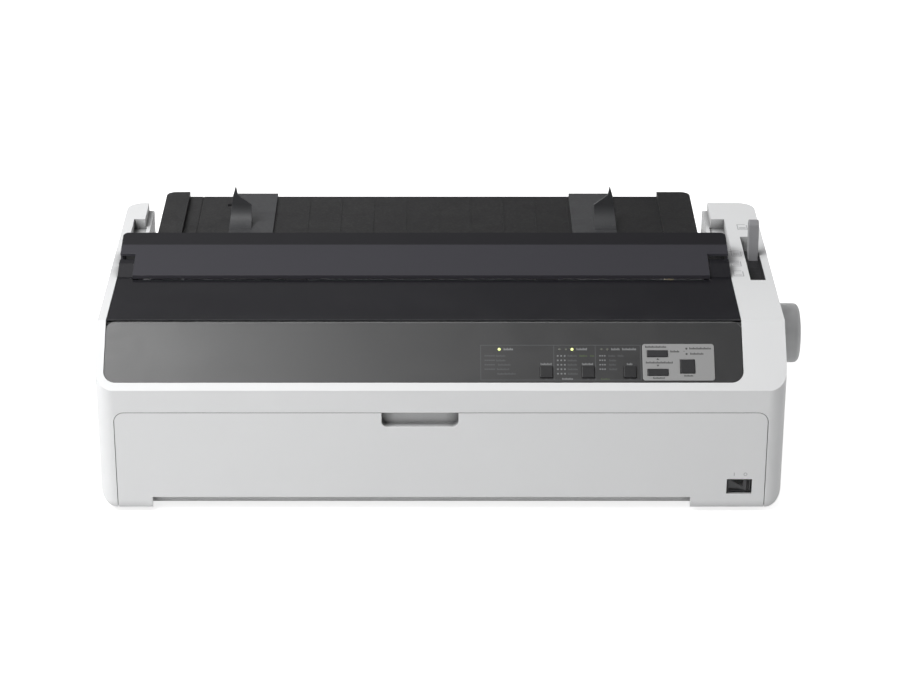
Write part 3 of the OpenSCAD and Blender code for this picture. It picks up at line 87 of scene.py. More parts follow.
class PrinterCaseSettings(bpy.types.PropertyGroup):
    shell_colour: colour_setting(
        "Shell Colour", "Colour of the white moulded case", (0.75, 0.755, 0.76))
    shell_grain: number_setting(
        "Shell Grain", "Size of the fine moulded texture on the case", 0.0007, 0.0002, 0.004)
    edge_round: number_setting(
        "Edge Rounding", "Width of the small bevel along the case's edges", 0.0009, 0.0001, 0.003)


class PrinterCoverSettings(bpy.types.PropertyGroup):
    smoke_colour: colour_setting(
        "Smoke Colour", "Colour of the smoked printer cover", (0.0155, 0.0150, 0.0195))
    flap_colour: colour_setting(
        "Flap Colour", "Colour of the tear-off flap", (0.043, 0.042, 0.050))
    gloss: number_setting(
        "Cover Roughness", "Roughness of the polished cover where it is clean", 0.09, 0.0, 1.0,
        subtype="FACTOR")


class PrinterPanelSettings(bpy.types.PropertyGroup):
    panel_colour: colour_setting(
        "Panel Colour", "Colour of the dark control panel", (0.014, 0.014, 0.015))
    plate_colour: colour_setting(
        "Key Plate Colour", "Colour of the grey plate round the paper keys", (0.30, 0.30, 0.30))
    dot_size: number_setting(
        "Dot Size", "Side of each printed dot in the status tables", 0.0014, 0.0004, 0.003)
    row_pitch: number_setting(
        "Row Pitch", "Distance between the rows of the status tables", 0.00425, 0.002, 0.008)


class PrinterStageSettings(bpy.types.PropertyGroup):
    floor_size: number_setting(
        "Floor Size", "Side of the pale floor", 24.0, 2.0, 100.0)
    softbox_power: number_setting(
        "Softbox Power", "Power of the large softbox high on the left", 31.0, 0.0, 1000.0,
        unit="POWER")
    room_level: number_setting(
        "Room Level", "Strength of the plain room light", 0.59, 0.0, 4.0, unit="NONE")
    pitch: number_setting(
        "Camera Pitch", "Angle of the camera below the horizontal", math.radians(25), 0.0,
        math.radians(90), subtype="ANGLE")
    lens: number_setting(
        "Focal Length", "Focal length of the camera", 112.0, 20.0, 300.0, unit="CAMERA")


SETTINGS = {
    "printer_case": PrinterCaseSettings,
    "printer_cover": PrinterCoverSettings,
    "printer_panel": PrinterPanelSettings,
    "printer_stage": PrinterStageSettings,
}


# ---- Nodes ----

def wire(tree, value, socket):
    """Feeds an input from another socket, or sets it to a plain value."""
    if isinstance(value, bpy.types.NodeSocket):
        tree.links.new(value, socket)
    else:
        socket.default_value = value


def add(tree, kind, at=(0, 0), **values):
    """A node; a key such as in_Scale sets or links that input, and any other key sets a property."""
    node = tree.nodes.new(kind)
    node.location = at
    for key, value in values.items():
        if key.startswith("in_"):
            name = key[3:].replace("_", " ")
            wire(tree, value, node.inputs[int(name) if name.isdigit() else name])
        else:
            setattr(node, key, value)
    return node


def math_node(tree, operation, a, b, at=(0, 0), clamp=False):
    """The output of a Math node whose inputs are sockets or numbers."""
    return add(tree, "ShaderNodeMath", at, operation=operation, use_clamp=clamp, in_0=a, in_1=b).outputs[0]


def noise(tree, at, vector, scale, detail, **values):
    """The output of a noise texture."""
    return add(tree, "ShaderNodeTexNoise", at, in_Vector=vector, in_Scale=scale, in_Detail=detail,
               **values).outputs[0]


def ranged(tree, at, value, low, high, new_low=0.0, new_high=1.0):
    """The output of a Map Range node that is clamped at both ends."""
    return add(tree, "ShaderNodeMapRange", at, in_0=value, in_1=low, in_2=high, in_3=new_low,
               in_4=new_high).outputs[0]


def new_tree(name, kind, inputs, outputs):
    """An empty node tree with named sockets; inputs are (name, socket kind, default)."""
    tree = bpy.data.node_groups.new(name, kind)
    for label, socket_kind, value in inputs:
        socket = tree.interface.new_socket(label, in_out="INPUT", socket_type="NodeSocket" + socket_kind)
        if value is not None:
            socket.default_value = value
    for label, socket_kind in outputs:
        tree.interface.new_socket(label, in_out="OUTPUT", socket_type="NodeSocket" + socket_kind)
    start = add(tree, "NodeGroupInput", (-900, 0))
    end = add(tree, "NodeGroupOutput", (900, 0))
    return tree, start.outputs, end.inputs


def new_group(name, inputs, outputs):
    """An empty shader group that gives plain numbers."""
    return new_tree(name, "ShaderNodeTree", inputs, [(label, "Float") for label in outputs])


# ---- Shader node groups ----

WHERE = ("Vector", "Vector", None)


def grain_group():
    """Fine moulded texture: a tone for the colour and a height for the bump."""
    group, given, result = new_group(
        "Moulded Grain", [WHERE, ("Density", "Float", 1400.0), ("Patch Scale", "Float", 9.0)],
        ("Tone", "Height"))
    where = given["Vector"]
    fine = noise(group, (-600, 200), where, given["Density"], 2.0, in_Roughness=0.6)
    pits = add(group, "ShaderNodeTexVoronoi", (-600, -100), feature="SMOOTH_F1", in_Vector=where,
               in_Scale=given["Density"])
    patch = noise(group, (-600, -400), where, given["Patch Scale"], 3.0, in_Roughness=0.5)
    low = math_node(group, "MULTIPLY", fine, 0.35, (-300, 200))
    wide = math_node(group, "MULTIPLY", patch, 0.65, (-300, -400))
    bumps = math_node(group, "MULTIPLY", pits.outputs["Distance"], 0.6, (-300, -100))
    wire(group, math_node(group, "ADD", low, wide, (0, 0), clamp=True), result["Tone"])
    wire(group, math_node(group, "ADD", bumps, low, (0, -200)), result["Height"])
    return group


def wear_group():
    """A mask of the convex edges that hands and paper have rubbed, broken up by noise."""
    group, given, result = new_group(
        "Rubbed Edge", [WHERE, ("Reach", "Float", 0.0012), ("Amount", "Float", 0.5)], ("Mask",))
    bevel = add(group, "ShaderNodeBevel", (-600, 100), samples=4, in_Radius=given["Reach"])
    plain = add(group, "ShaderNodeNewGeometry", (-600, -150))
    dot = add(group, "ShaderNodeVectorMath", (-350, 0), operation="DOT_PRODUCT",
              in_0=bevel.outputs["Normal"], in_1=plain.outputs["Normal"])
    bent = math_node(group, "SUBTRACT", 1.0, dot.outputs["Value"], (-150, 0))
    edge = math_node(group, "MULTIPLY", bent, 9.0, (0, 0), clamp=True)
    patchy = noise(group, (-350, -350), given["Vector"], 160.0, 4.0)
    broken = math_node(group, "MULTIPLY", edge, patchy, (200, -100))
    wire(group, math_node(group, "MULTIPLY", broken, given["Amount"], (400, 0), clamp=True), result["Mask"])
    return group


def dust_group():
    """A mask of thin dust that lies on faces that look upwards."""
    group, given, result = new_group("Settled Dust", [WHERE, ("Amount", "Float", 0.2)], ("Mask",))
    plain = add(group, "ShaderNodeNewGeometry", (-600, 100))
    parts = add(group, "ShaderNodeSeparateXYZ", (-400, 100), in_0=plain.outputs["Normal"])
    up = ranged(group, (-200, 100), parts.outputs["Z"], 0.55, 0.95)
    specks = noise(group, (-600, -200), given["Vector"], 420.0, 5.0, in_Roughness=0.7)
    cloud = noise(group, (-600, -450), given["Vector"], 14.0, 3.0)
    grains = ranged(group, (-350, -200), specks, 0.45, 0.8)
    spread = math_node(group, "MULTIPLY", grains, cloud, (-100, -250))
    lying = math_node(group, "MULTIPLY", spread, up, (100, 0))
    wire(group, math_node(group, "MULTIPLY", lying, given["Amount"], (300, 0), clamp=True), result["Mask"])
    return group


def painted_crease_shade_group():
    """A mask of painted shade for the inner corners, pockets and narrow gaps, where ambient occlusion finds
    little open sky.
    """
    group, given, result = new_group(
        "Painted Crease Shade", [("Reach", "Float", 0.012), ("Amount", "Float", 0.5)], ("Mask",))
    open_sky = add(group, "ShaderNodeAmbientOcclusion", (-400, 0), samples=6, in_Distance=given["Reach"])
    shut = math_node(group, "SUBTRACT", 1.0, open_sky.outputs["AO"], (-200, 0))
    wire(group, math_node(group, "MULTIPLY", shut, given["Amount"], (0, 0), clamp=True), result["Mask"])
    return group


def smudge_group():
    """Faint handling marks that change how polished a surface is."""
    group, given, result = new_group(
        "Handling Marks", [WHERE, ("Clean", "Float", 0.3), ("Smudged", "Float", 0.45)], ("Roughness",))
    cloud = noise(group, (-600, 0), given["Vector"], 22.0, 6.0, in_Roughness=0.62, in_Distortion=0.9)
    spread = ranged(group, (-300, 0), cloud, 0.38, 0.68, given["Clean"], given["Smudged"])
    wire(group, spread, result["Roughness"])
    return group


def brushed_group():
    """Long fine lines, as rolled, ground or turned metal shows."""
    group, given, result = new_group(
        "Drawn Lines", [WHERE, ("Stretch", "Vector", (20.0, 900.0, 900.0))], ("Tone", "Height"))
    scaled = add(group, "ShaderNodeVectorMath", (-600, 0), operation="MULTIPLY", in_0=given["Vector"],
                 in_1=given["Stretch"])
    lines = noise(group, (-350, 0), scaled.outputs[0], 1.0, 5.0, in_Roughness=0.6)
    for label in ("Tone", "Height"):
        wire(group, lines, result[label])
    return group


GROUPS = {}


def build_groups():
    GROUPS.update({
        "grain": grain_group(), "wear": wear_group(), "crease": painted_crease_shade_group(), "dust": dust_group(),
        "smudge": smudge_group(), "brushed": brushed_group()})


def use_group(tree, key, at, **values):
    """A shader group's node with its named inputs set or linked."""
    return add(tree, "ShaderNodeGroup", at, node_tree=GROUPS[key],
               **{"in_" + name: value for name, value in values.items()})


# ---- Materials ----

GREY_DUST = (0.42, 0.41, 0.39)
METAL_DUST = (0.30, 0.29, 0.27)
LACQUER_TIN = (0.45, 0.44, 0.40)


def mix_colours(tree, factor, a, b, at):
    """The mix of two colours or sockets."""
    ends = [value if isinstance(value, bpy.types.NodeSocket) else (*value, 1.0) for value in (a, b)]
    return add(tree, "ShaderNodeMix", at, data_type="RGBA", in_0=factor, in_6=ends[0],
               in_7=ends[1]).outputs[2]


def shade(colour, factor):
    return tuple(min(1.0, c * factor) for c in colour)


def start_material(name, **sockets):
    """A new material with a Principled shader whose constant sockets are set on the shader itself."""
    material = bpy.data.materials.new(name)
    material.use_nodes = True
    tree = material.node_tree
    shader = tree.nodes["Principled BSDF"]
    shader.location = (700, 0)
    tree.nodes["Material Output"].location = (1000, 0)
    for key, value in sockets.items():
        shader.inputs[key.replace("_", " ")].default_value = value
    where = add(tree, "ShaderNodeTexCoord", (-1100, 0)).outputs["Object"]
    return material, tree, shader, where


def end_material(tree, shader, where, colour, rough, height, strength, depth):
    """Gives the shader its colour, its handling marks and its relief."""
    marks = use_group(tree, "smudge", (-800, -400), Vector=where, Clean=rough[0], Smudged=rough[1])
    bump = add(tree, "ShaderNodeBump", (300, -300), in_Strength=strength, in_Distance=depth,
               in_Height=height)
    wire(tree, colour, shader.inputs["Base Color"])
    wire(tree, marks.outputs["Roughness"], shader.inputs["Roughness"])
    wire(tree, bump.outputs[0], shader.inputs["Normal"])


def aged(tree, where, base, rubbed, wear, dust_colour, dust):
    """A base colour with rubbed edges and settled dust."""
    mask = use_group(tree, "wear", (-800, 0), Vector=where, Amount=wear)
    lying = use_group(tree, "dust", (-800, -200), Vector=where, Amount=dust)
    worn = mix_colours(tree, mask.outputs["Mask"], base, rubbed, (-100, 200))
    return mix_colours(tree, lying.outputs["Mask"], worn, dust_colour, (200, 200))


def varied(tree, tone, colour, contrast):
    """A colour that drifts a little lighter and darker."""
    return mix_colours(tree, tone, shade(colour, 1 - contrast), shade(colour, 1 + contrast), (-400, 300))


def moulded(name, colour, rough, density, depth, contrast, wear, dust, worn=None, dust_colour=GREY_DUST,
            crease=0.0, **sockets):
    """Moulded plastic or rubber: grain, slow tone change, rubbed edges, dust on top, handling marks and,
    where asked, painted shade in creases and recesses.
    """
    material, tree, shader, where = start_material(name, **sockets)
    grain = use_group(tree, "grain", (-800, 300), Vector=where, Density=density)
    base = varied(tree, grain.outputs["Tone"], colour, contrast)
    final = aged(tree, where, base, worn or shade(colour, 1.35), wear, dust_colour, dust)
    # Painted shade: inner corners, recesses and seams are darkened towards a tenth of the colour by ambient
    # occlusion
    if crease:
        dark = use_group(tree, "crease", (-100, -100), Amount=crease)
        final = mix_colours(tree, dark.outputs["Mask"], final, shade(colour, 0.1), (400, 200))
    end_material(tree, shader, where, final, rough, grain.outputs["Height"], 0.35, depth)
    return material


def metal(name, colour, rough, stretch, contrast, dust):
    """Bare or plated metal with drawn lines, slightly brighter edges and dust."""
    material, tree, shader, where = start_material(name, Metallic=1.0)
    lines = use_group(tree, "brushed", (-800, 300), Vector=where, Stretch=stretch)
    base = varied(tree, lines.outputs["Tone"], colour, contrast)
    final = aged(tree, where, base, shade(colour, 1.3), 0.4, METAL_DUST, dust)
    end_material(tree, shader, where, final, rough, lines.outputs["Height"], 0.3, 0.00002)
    return material


def parted(material, second, axis, start, end):
    """Gives a material a second colour beyond a line across one axis of the piece."""
    tree = material.node_tree
    shader = next(n for n in tree.nodes if n.type == "BSDF_PRINCIPLED")
    first = shader.inputs["Base Color"].links[0].from_socket
    where = add(tree, "ShaderNodeTexCoord", (-100, 600)).outputs["Object"]
    parts = add(tree, "ShaderNodeSeparateXYZ", (100, 600), in_0=where)
    mask = ranged(tree, (300, 600), parts.outputs[axis], start, end)
    wire(tree, mix_colours(tree, mask, first, second, (500, 500)), shader.inputs["Base Color"])
    return material


def smoked_plastic(name, colour, gloss):
    """Polished smoked plastic: nearly opaque, with flow marks, fingerprints and a little dust."""
    material, tree, shader, where = start_material(
        name, Transmission_Weight=0.35, IOR=1.46, Specular_IOR_Level=0.35, Coat_Weight=0.12,
        Coat_Roughness=0.05)
    flow = add(tree, "ShaderNodeMapping", (-900, 300), in_Vector=where, in_Scale=(2.0, 9.0, 9.0))
    streaks = noise(tree, (-700, 300), flow.outputs[0], 3.0, 4.0, in_Distortion=0.5)
    base = mix_colours(tree, streaks, shade(colour, 0.82), shade(colour, 1.2), (-400, 300))
    final = aged(tree, where, base, (0.10, 0.10, 0.105), 0.35, (0.32, 0.31, 0.30), 0.10)
    end_material(tree, shader, where, final, (gloss, gloss * 1.9), streaks, 0.05, 0.0004)
    return material


def circuit_board(name, colour, track):
    """Lacquered board: tracks under the lacquer, tinned pads and fine glass weave."""
    material, tree, shader, where = start_material(name, Coat_Weight=0.4, Coat_Roughness=0.15)
    bricks = add(tree, "ShaderNodeTexBrick", (-800, 300), offset=0.37, squash=2.2, in_Vector=where,
                 in_Color1=(0.25, 0.25, 0.25, 1), in_Color2=(0.05, 0.05, 0.05, 1), in_Mortar=(1, 1, 1, 1),
                 in_Scale=60.0, in_Mortar_Size=0.03, in_Mortar_Smooth=0.2)
    pads = add(tree, "ShaderNodeTexVoronoi", (-800, -50), in_Vector=where, in_Scale=130.0)
    holes = math_node(tree, "LESS_THAN", pads.outputs["Distance"], 0.16, (-550, -50))
    weave = use_group(tree, "grain", (-800, -350), Vector=where, Density=2600.0)
    tracks = mix_colours(tree, bricks.outputs["Fac"], colour, track, (-300, 300))
    tinned = mix_colours(tree, holes, tracks, LACQUER_TIN, (0, 200))
    end_material(tree, shader, where, tinned, (0.3, 0.5), weave.outputs["Height"], 0.3, 0.00005)
    return material


def inked_ribbon(name):
    """Woven ribbon soaked in ink."""
    material, tree, shader, where = start_material(name, Sheen_Weight=0.15, Sheen_Roughness=0.5)
    threads = [
        add(tree, "ShaderNodeTexWave", (-800, y), bands_direction=way, in_Vector=where, in_Scale=900.0,
            in_Distortion=0.6).outputs["Fac"]
        for way, y in (("X", 300), ("Z", 0))]
    cloth = math_node(tree, "MULTIPLY", *threads, (-500, 150))
    tone = mix_colours(tree, cloth, (0.006, 0.006, 0.008), (0.022, 0.021, 0.026), (-200, 200))
    end_material(tree, shader, where, tone, (0.55, 0.8), cloth, 0.5, 0.0001)
    return material


def lamp_lens(name, dark, bright, glow):
    """Tinted lamp lens with moulding flecks, lit when glow isn't nought."""
    material, tree, shader, where = start_material(name, Roughness=0.25, Coat_Weight=0.5)
    flecks = noise(tree, (-700, 200), where, 900.0, 3.0)
    tint = mix_colours(tree, flecks, dark, bright, (-300, 200))
    wire(tree, tint, shader.inputs["Base Color"])
    if glow:
        wire(tree, tint, shader.inputs["Emission Color"])
        shader.inputs["Emission Strength"].default_value = glow
    return material


def grey(tone, blue=0.0):
    """A grey that is a little bluer than neutral where blue isn't nought."""
    return (tone, tone, tone + blue)


FINISH = {}


def build_finishes(scene):
    """Makes every material; the moulded and metal ones from rows of how they differ."""
    case = scene.printer_case
    cover = scene.printer_cover
    panel = scene.printer_panel
    shell = tuple(case.shell_colour)
    plate = tuple(panel.plate_colour)
    dark = tuple(panel.panel_colour)
    flap = tuple(cover.flap_colour)
    # Name, colour, roughness clean and smudged, grains in a metre, relief, contrast, wear, dust and the rest
    moulds = [
        # The case's last setting paints shade into its finger recess and seams
        ("case_white", shell, (0.48, 0.58), 1.0 / case.shell_grain, 0.00006, 0.018, 0.25, 0.08,
         {"worn": grey(0.90), "dust_colour": (0.55, 0.53, 0.50), "crease": 1.4}),
        ("flap_grey", flap, (0.28, 0.31), 1800.0, 0.00001, 0.05, 0.0, 0.0, {}),
        ("panel_grey", dark, (0.36, 0.44), 2200.0, 0.00002, 0.08, 0.4, 0.03, {"Specular_IOR_Level": 0.95}),
        ("guide_black", grey(0.0095, 0.001), (0.36, 0.46), 1500.0, 0.00004, 0.12, 0.5, 0.16, {}),
        ("edge_grey", (0.048, 0.049, 0.052), (0.40, 0.52), 1500.0, 0.00005, 0.07, 0.35, 0.12, {}),
        ("knob_grey", (0.60, 0.605, 0.61), (0.42, 0.54), 1500.0, 0.00005, 0.05, 0.5, 0.14, {}),
        ("lever_grey", grey(0.26, 0.01), (0.40, 0.5), 1500.0, 0.00005, 0.06, 0.6, 0.15, {}),
        ("plate_grey", plate, (0.42, 0.52), 2000.0, 0.00002, 0.04, 0.5, 0.15, {}),
        ("key_black", grey(0.024, 0.002), (0.30, 0.42), 1800.0, 0.00002, 0.12, 0.6, 0.06, {}),
        ("panel_key", shade(dark, 1.25), (0.34, 0.46), 1800.0, 0.00002, 0.08, 0.5, 0.05, {}),
        ("switch_black", grey(0.019, 0.002), (0.24, 0.38), 1700.0, 0.00002, 0.10, 0.5, 0.08, {}),
        ("inner_black", grey(0.028, 0.003), (0.44, 0.6), 1300.0, 0.00005, 0.12, 0.35, 0.30, {}),
        ("rubber_black", grey(0.022), (0.6, 0.8), 2400.0, 0.00008, 0.15, 0.6, 0.22, {"worn": grey(0.07)}),
        ("gear_ivory", (0.70, 0.66, 0.54), (0.3, 0.42), 1100.0, 0.00005, 0.05, 0.35, 0.12,
         {"Subsurface_Weight": 0.08, "Subsurface_Scale": 0.002}),
        ("motor_steel", grey(0.05, 0.005), (0.3, 0.42), 900.0, 0.00005, 0.10, 0.8, 0.2,
         {"worn": grey(0.35, 0.01)}),
    ]
    for name, colour in (
            ("pale_print", (0.22, 0.225, 0.23)), ("faint_print", (0.085, 0.087, 0.09)),
            ("green_print", (0.075, 0.10, 0.05)), ("dark_print", grey(0.06)),
            ("grey_print", grey(0.42, 0.01))):
        moulds.append((name, colour, (0.5, 0.62), 3000.0, 0.00001, 0.22, 0.0, 0.05, {}))
    for name, *values, rest in moulds:
        FINISH[name] = moulded(name, *values, **rest)
    # Name, colour, roughness clean and smudged, how far the lines are drawn out, contrast and dust
    for row in (
            ("zinc_steel", (0.60, 0.61, 0.62), (0.30, 0.46), (20.0, 900.0, 900.0), 0.12, 0.12),
            ("bright_steel", grey(0.74, 0.01), (0.10, 0.2), (12.0, 1600.0, 1600.0), 0.06, 0.05),
            ("pulley_alloy", grey(0.68, 0.02), (0.25, 0.38), (900.0, 900.0, 30.0), 0.12, 0.12),
            ("brass", (0.72, 0.52, 0.22), (0.22, 0.34), (30.0, 900.0, 900.0), 0.12, 0.12)):
        FINISH[row[0]] = metal(*row)
    # Painted shade: the flap's rear strip beyond the ridge is coloured darker, standing in for the dark
    # reflection of its upward face
    parted(FINISH["flap_grey"], shade(flap, 0.35), "Y", RIDGE_Y - 0.0003, RIDGE_Y + 0.0003)
    parted(FINISH["lever_grey"], grey(0.014, 0.001), "Z", LEVER_DARK + 0.001, LEVER_DARK)
    FINISH.update({
        "smoked_cover": smoked_plastic("smoked_cover", tuple(cover.smoke_colour), cover.gloss),
        "lamp": lamp_lens("lamp_lit", (0.50, 0.62, 0.10), (0.95, 1.0, 0.45), 1.2),
        "lamp_dark": lamp_lens("lamp_dark", (0.10, 0.105, 0.09), (0.16, 0.165, 0.14), 0.0),
        "board_green": circuit_board("board_green", (0.012, 0.10, 0.045), (0.03, 0.19, 0.085)),
        "board_brown": circuit_board("board_brown", (0.20, 0.105, 0.038), (0.33, 0.19, 0.075)),
        "ink_fabric": inked_ribbon("ink_fabric"),
    })


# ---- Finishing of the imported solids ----

# How near corners are merged in metres, how far faces may differ and still be joined flat, and the angle
# from which an edge is rounded
MERGE_REACH = 0.00001
FLAT_ANGLE = math.radians(0.4)
EDGE_ANGLE = math.radians(32)


def cad_node(node):
    """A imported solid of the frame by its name."""
    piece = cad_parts.get(node)
    if piece is None:
        raise RuntimeError(f"the frame has no solid named {node}")
    return piece


def finish_node(node, finish, edge=0.0004, segments=2, flatten=True):
    """Merges and flattens a solid's loose triangles, rounds its edges and gives it its material."""
    piece = cad_node(node)
    weld = piece.modifiers.new("Merge", "WELD")
    weld.merge_threshold = MERGE_REACH
    if flatten:
        flat = piece.modifiers.new("Flatten", "DECIMATE")
        flat.decimate_type = "DISSOLVE"
        flat.angle_limit = FLAT_ANGLE
    if edge:
        bevel = piece.modifiers.new("Edge", "BEVEL")
        bevel.limit_method = "ANGLE"
        bevel.angle_limit = EDGE_ANGLE
        bevel.width = edge
        bevel.segments = segments
        bevel.use_clamp_overlap = True
        bevel.miter_outer = "MITER_ARC"
    normals = piece.modifiers.new("Normals", "WEIGHTED_NORMAL")
    normals.keep_sharp = True
    normals.weight = 60
    if not piece.material_slots:
        piece.data.materials.append(None)
    for slot in piece.material_slots:
        slot.link = "OBJECT"
        slot.material = FINISH[finish]


def finish_all(*rows):
    """Finishes solids row by row: their names, their finish and the edge's width and segments."""
    for names, finish, *edge in rows:
        for node in names.split():
            finish_node(node, finish, *edge)


def make_piece(name, mesh, body, finish):
    """Shows a mesh as a piece that rides on a body."""
    piece = bpy.data.objects.new(name, mesh)
    bpy.context.scene.collection.objects.link(piece)
    mesh.materials.clear()
    mesh.materials.append(FINISH[finish])
    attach(piece, body)
    return piece


def mesh_piece(name, bm, body, finish):
    """Shows what was drawn in bm, with its corners merged and its faces turned outwards."""
    bmesh.ops.remove_doubles(bm, verts=bm.verts, dist=0.000001)
    bmesh.ops.recalc_face_normals(bm, faces=bm.faces)
    mesh = bpy.data.meshes.new(name)
    bm.to_mesh(mesh)
    bm.free()
    return make_piece(name, mesh, body, finish)


def surface_point(node, start, way):
    """Where a ray from a point outside meets a solid."""
    hit, where, _, _ = cad_node(node).ray_cast(start, Vector(way))
    if not hit:
        raise RuntimeError(f"nothing of {node} lies ahead of {tuple(start)}")
    return where


def add_plate(bm, corners, thick, normal):
    """A thin closed plate from its corners, raised by thick along normal."""
    low = [bm.verts.new(c) for c in corners]
    high = [bm.verts.new(c + normal * thick) for c in corners]
    bm.faces.new(low)
    bm.faces.new(high)
    for i in range(len(corners)):
        j = (i + 1) % len(corners)
        bm.faces.new((low[i], low[j], high[j], high[i]))


# Thickness of printed marks and moulded signs in metres; the signs' gap, and the heights of the panel's and
# the key plate's faces over the slope, in mm
PRINT_THICK = 0.00005
SIGN_THICK = 0.00004
SIGN_GAP = 0.005
PANEL_LEVEL = -0.5
PLATE_LEVEL = 0.3
PANEL_NORMAL = Vector((0, -math.sin(SLOPE), math.cos(SLOPE)))


def on_circle(centre, radius, step, steps):
    """A point of a circle of a given number of steps, as a pair of mm."""
    angle = 2 * math.pi * step / steps
    return centre[0] + radius * math.cos(angle), centre[1] + radius * math.sin(angle)


def panel_plate(bm, x0, t0, x1, t1, h=PANEL_LEVEL):
    """A thin printed bar on the slope between two corners, in mm."""
    corners = [on_panel(x0, t0, h), on_panel(x0, t1, h), on_panel(x1, t1, h), on_panel(x1, t0, h)]
    add_plate(bm, corners, PRINT_THICK, PANEL_NORMAL)


def panel_words(bm, rows, h=PANEL_LEVEL):
    """Generic bars that stand for words: x, t, width, height and the number of short strokes of each."""
    for x, t, width, height, strokes in rows:
        step = width / strokes
        for i in range(strokes):
            tall = height * (0.72 + 0.28 * ((i * 7) % 3 == 0))
            panel_plate(bm, x + i * step, t + height - tall, x + i * step + step * 0.72, t + height, h)


# ---- Geometry Nodes for what repeats ----

def geometry_tree(name, inputs):
    """An empty geometry tree; it always takes a material."""
    return new_tree(name, "GeometryNodeTree", [*inputs, ("Material", "Material", None)],
                    [("Geometry", "Geometry")])


def end_tree(tree, geometry, given, result):
    """Ends a tree in Realize Instances and Set Material."""
    real = add(tree, "GeometryNodeRealizeInstances", in_0=geometry)
    paint = add(tree, "GeometryNodeSetMaterial", in_Geometry=real.outputs[0], in_Material=given["Material"])
    wire(tree, paint.outputs[0], result["Geometry"])
    return tree


def grown(name, tree, values, mesh=None):
    """Runs a geometry tree with the given inputs and returns its result as a plain mesh."""
    carrier = bpy.data.objects.new(name + "_carrier", mesh or bpy.data.meshes.new(name + "_seed"))
    bpy.context.scene.collection.objects.link(carrier)
    modifier = carrier.modifiers.new("Grow", "NODES")
    modifier.node_group = tree
    sockets = {s.name: s.identifier for s in tree.interface.items_tree if s.in_out == "INPUT"}
    for label, value in values.items():
        modifier[sockets[label]] = value
    carrier.update_tag()
    depsgraph = bpy.context.evaluated_depsgraph_get()
    result = bpy.data.meshes.new_from_object(carrier.evaluated_get(depsgraph))
    result.name = name
    carrier.modifiers.remove(modifier)
    bpy.data.objects.remove(carrier)
    if not result.polygons:
        raise RuntimeError(f"the tree for {name} made nothing")
    return result


def table_tree():
    """Rows and columns of small bars, laid in their own plane and then set on a surface."""
    tree, given, result = geometry_tree("Status Table", [
        ("Columns", "Int", 3), ("Rows", "Int", 5), ("Column Pitch", "Float", 0.003),
        ("Row Pitch", "Float", 0.004), ("Bar", "Vector", (0.0014, 0.0014, 0.00005)),
        ("Place", "Vector", None), ("Turn", "Vector", None)])
    width, depth = (
        math_node(tree, "MULTIPLY", math_node(tree, "SUBTRACT", given[count], 1.0), given[pitch])
        for count, pitch in (("Columns", "Column Pitch"), ("Rows", "Row Pitch")))
    grid = add(tree, "GeometryNodeMeshGrid", in_Vertices_X=given["Columns"], in_Vertices_Y=given["Rows"],
               in_Size_X=width, in_Size_Y=depth)
    points = add(tree, "GeometryNodeMeshToPoints", in_Mesh=grid.outputs["Mesh"])
    bar = add(tree, "GeometryNodeMeshCube", in_Size=given["Bar"])
    bars = add(tree, "GeometryNodeInstanceOnPoints", in_Points=points.outputs[0],
               in_Instance=bar.outputs["Mesh"])
    moved = add(tree, "GeometryNodeTransform", in_Geometry=bars.outputs[0], in_Translation=given["Place"],
                in_Rotation=given["Turn"])
    return end_tree(tree, moved.outputs[0], given, result)


def screw_tree():
    """Cross-recessed screw heads on the points of the carrier mesh, all facing one way."""
    tree, given, result = geometry_tree("Screw Heads", [
        ("Geometry", "Geometry", None), ("Head Radius", "Float", 0.003), ("Head Height", "Float", 0.0014),
        ("Turn", "Vector", None)])
    radius = given["Head Radius"]
    height = given["Head Height"]
    points = add(tree, "GeometryNodeMeshToPoints", in_Mesh=given["Geometry"])
    head = add(tree, "GeometryNodeMeshCylinder", in_Vertices=20, in_Radius=radius, in_Depth=height)
    cross = add(tree, "GeometryNodeMeshBoolean", operation="DIFFERENCE", solver="EXACT")
    wire(tree, head.outputs["Mesh"], cross.inputs["Mesh 1"])
    lift = add(tree, "ShaderNodeCombineXYZ", in_Z=math_node(tree, "MULTIPLY", height, 0.55))
    for long, short in ((1.2, 0.26), (0.26, 1.2)):
        size = add(tree, "ShaderNodeCombineXYZ", in_X=math_node(tree, "MULTIPLY", radius, long),
                   in_Y=math_node(tree, "MULTIPLY", radius, short), in_Z=height)
        cut = add(tree, "GeometryNodeMeshCube", in_Size=size.outputs[0])
        raised = add(tree, "GeometryNodeTransform", in_Geometry=cut.outputs["Mesh"],
                     in_Translation=lift.outputs[0])
        wire(tree, raised.outputs[0], cross.inputs["Mesh 2"])
    spin = add(tree, "FunctionNodeEulerToRotation", in_0=given["Turn"])
    heads = add(tree, "GeometryNodeInstanceOnPoints", in_Points=points.outputs[0],
                in_Instance=cross.outputs["Mesh"], in_Rotation=spin.outputs[0])
    return end_tree(tree, heads.outputs[0], given, result)


def row_of_bars(name, finish, columns, rows, pitches, bar, centre, turn=(0, 0, 0)):
    """One piece of repeated bars on the case, its centre given as a point of the model."""
    mesh = grown(name, TREES["table"], {
        "Columns": columns, "Rows": rows, "Column Pitch": pitches[0], "Row Pitch": pitches[1],
        "Bar": bar, "Place": tuple(centre), "Turn": turn, "Material": FINISH[finish]})
    return make_piece(name, mesh, "case", finish)


TREES = {}


# ---- Pieces ----

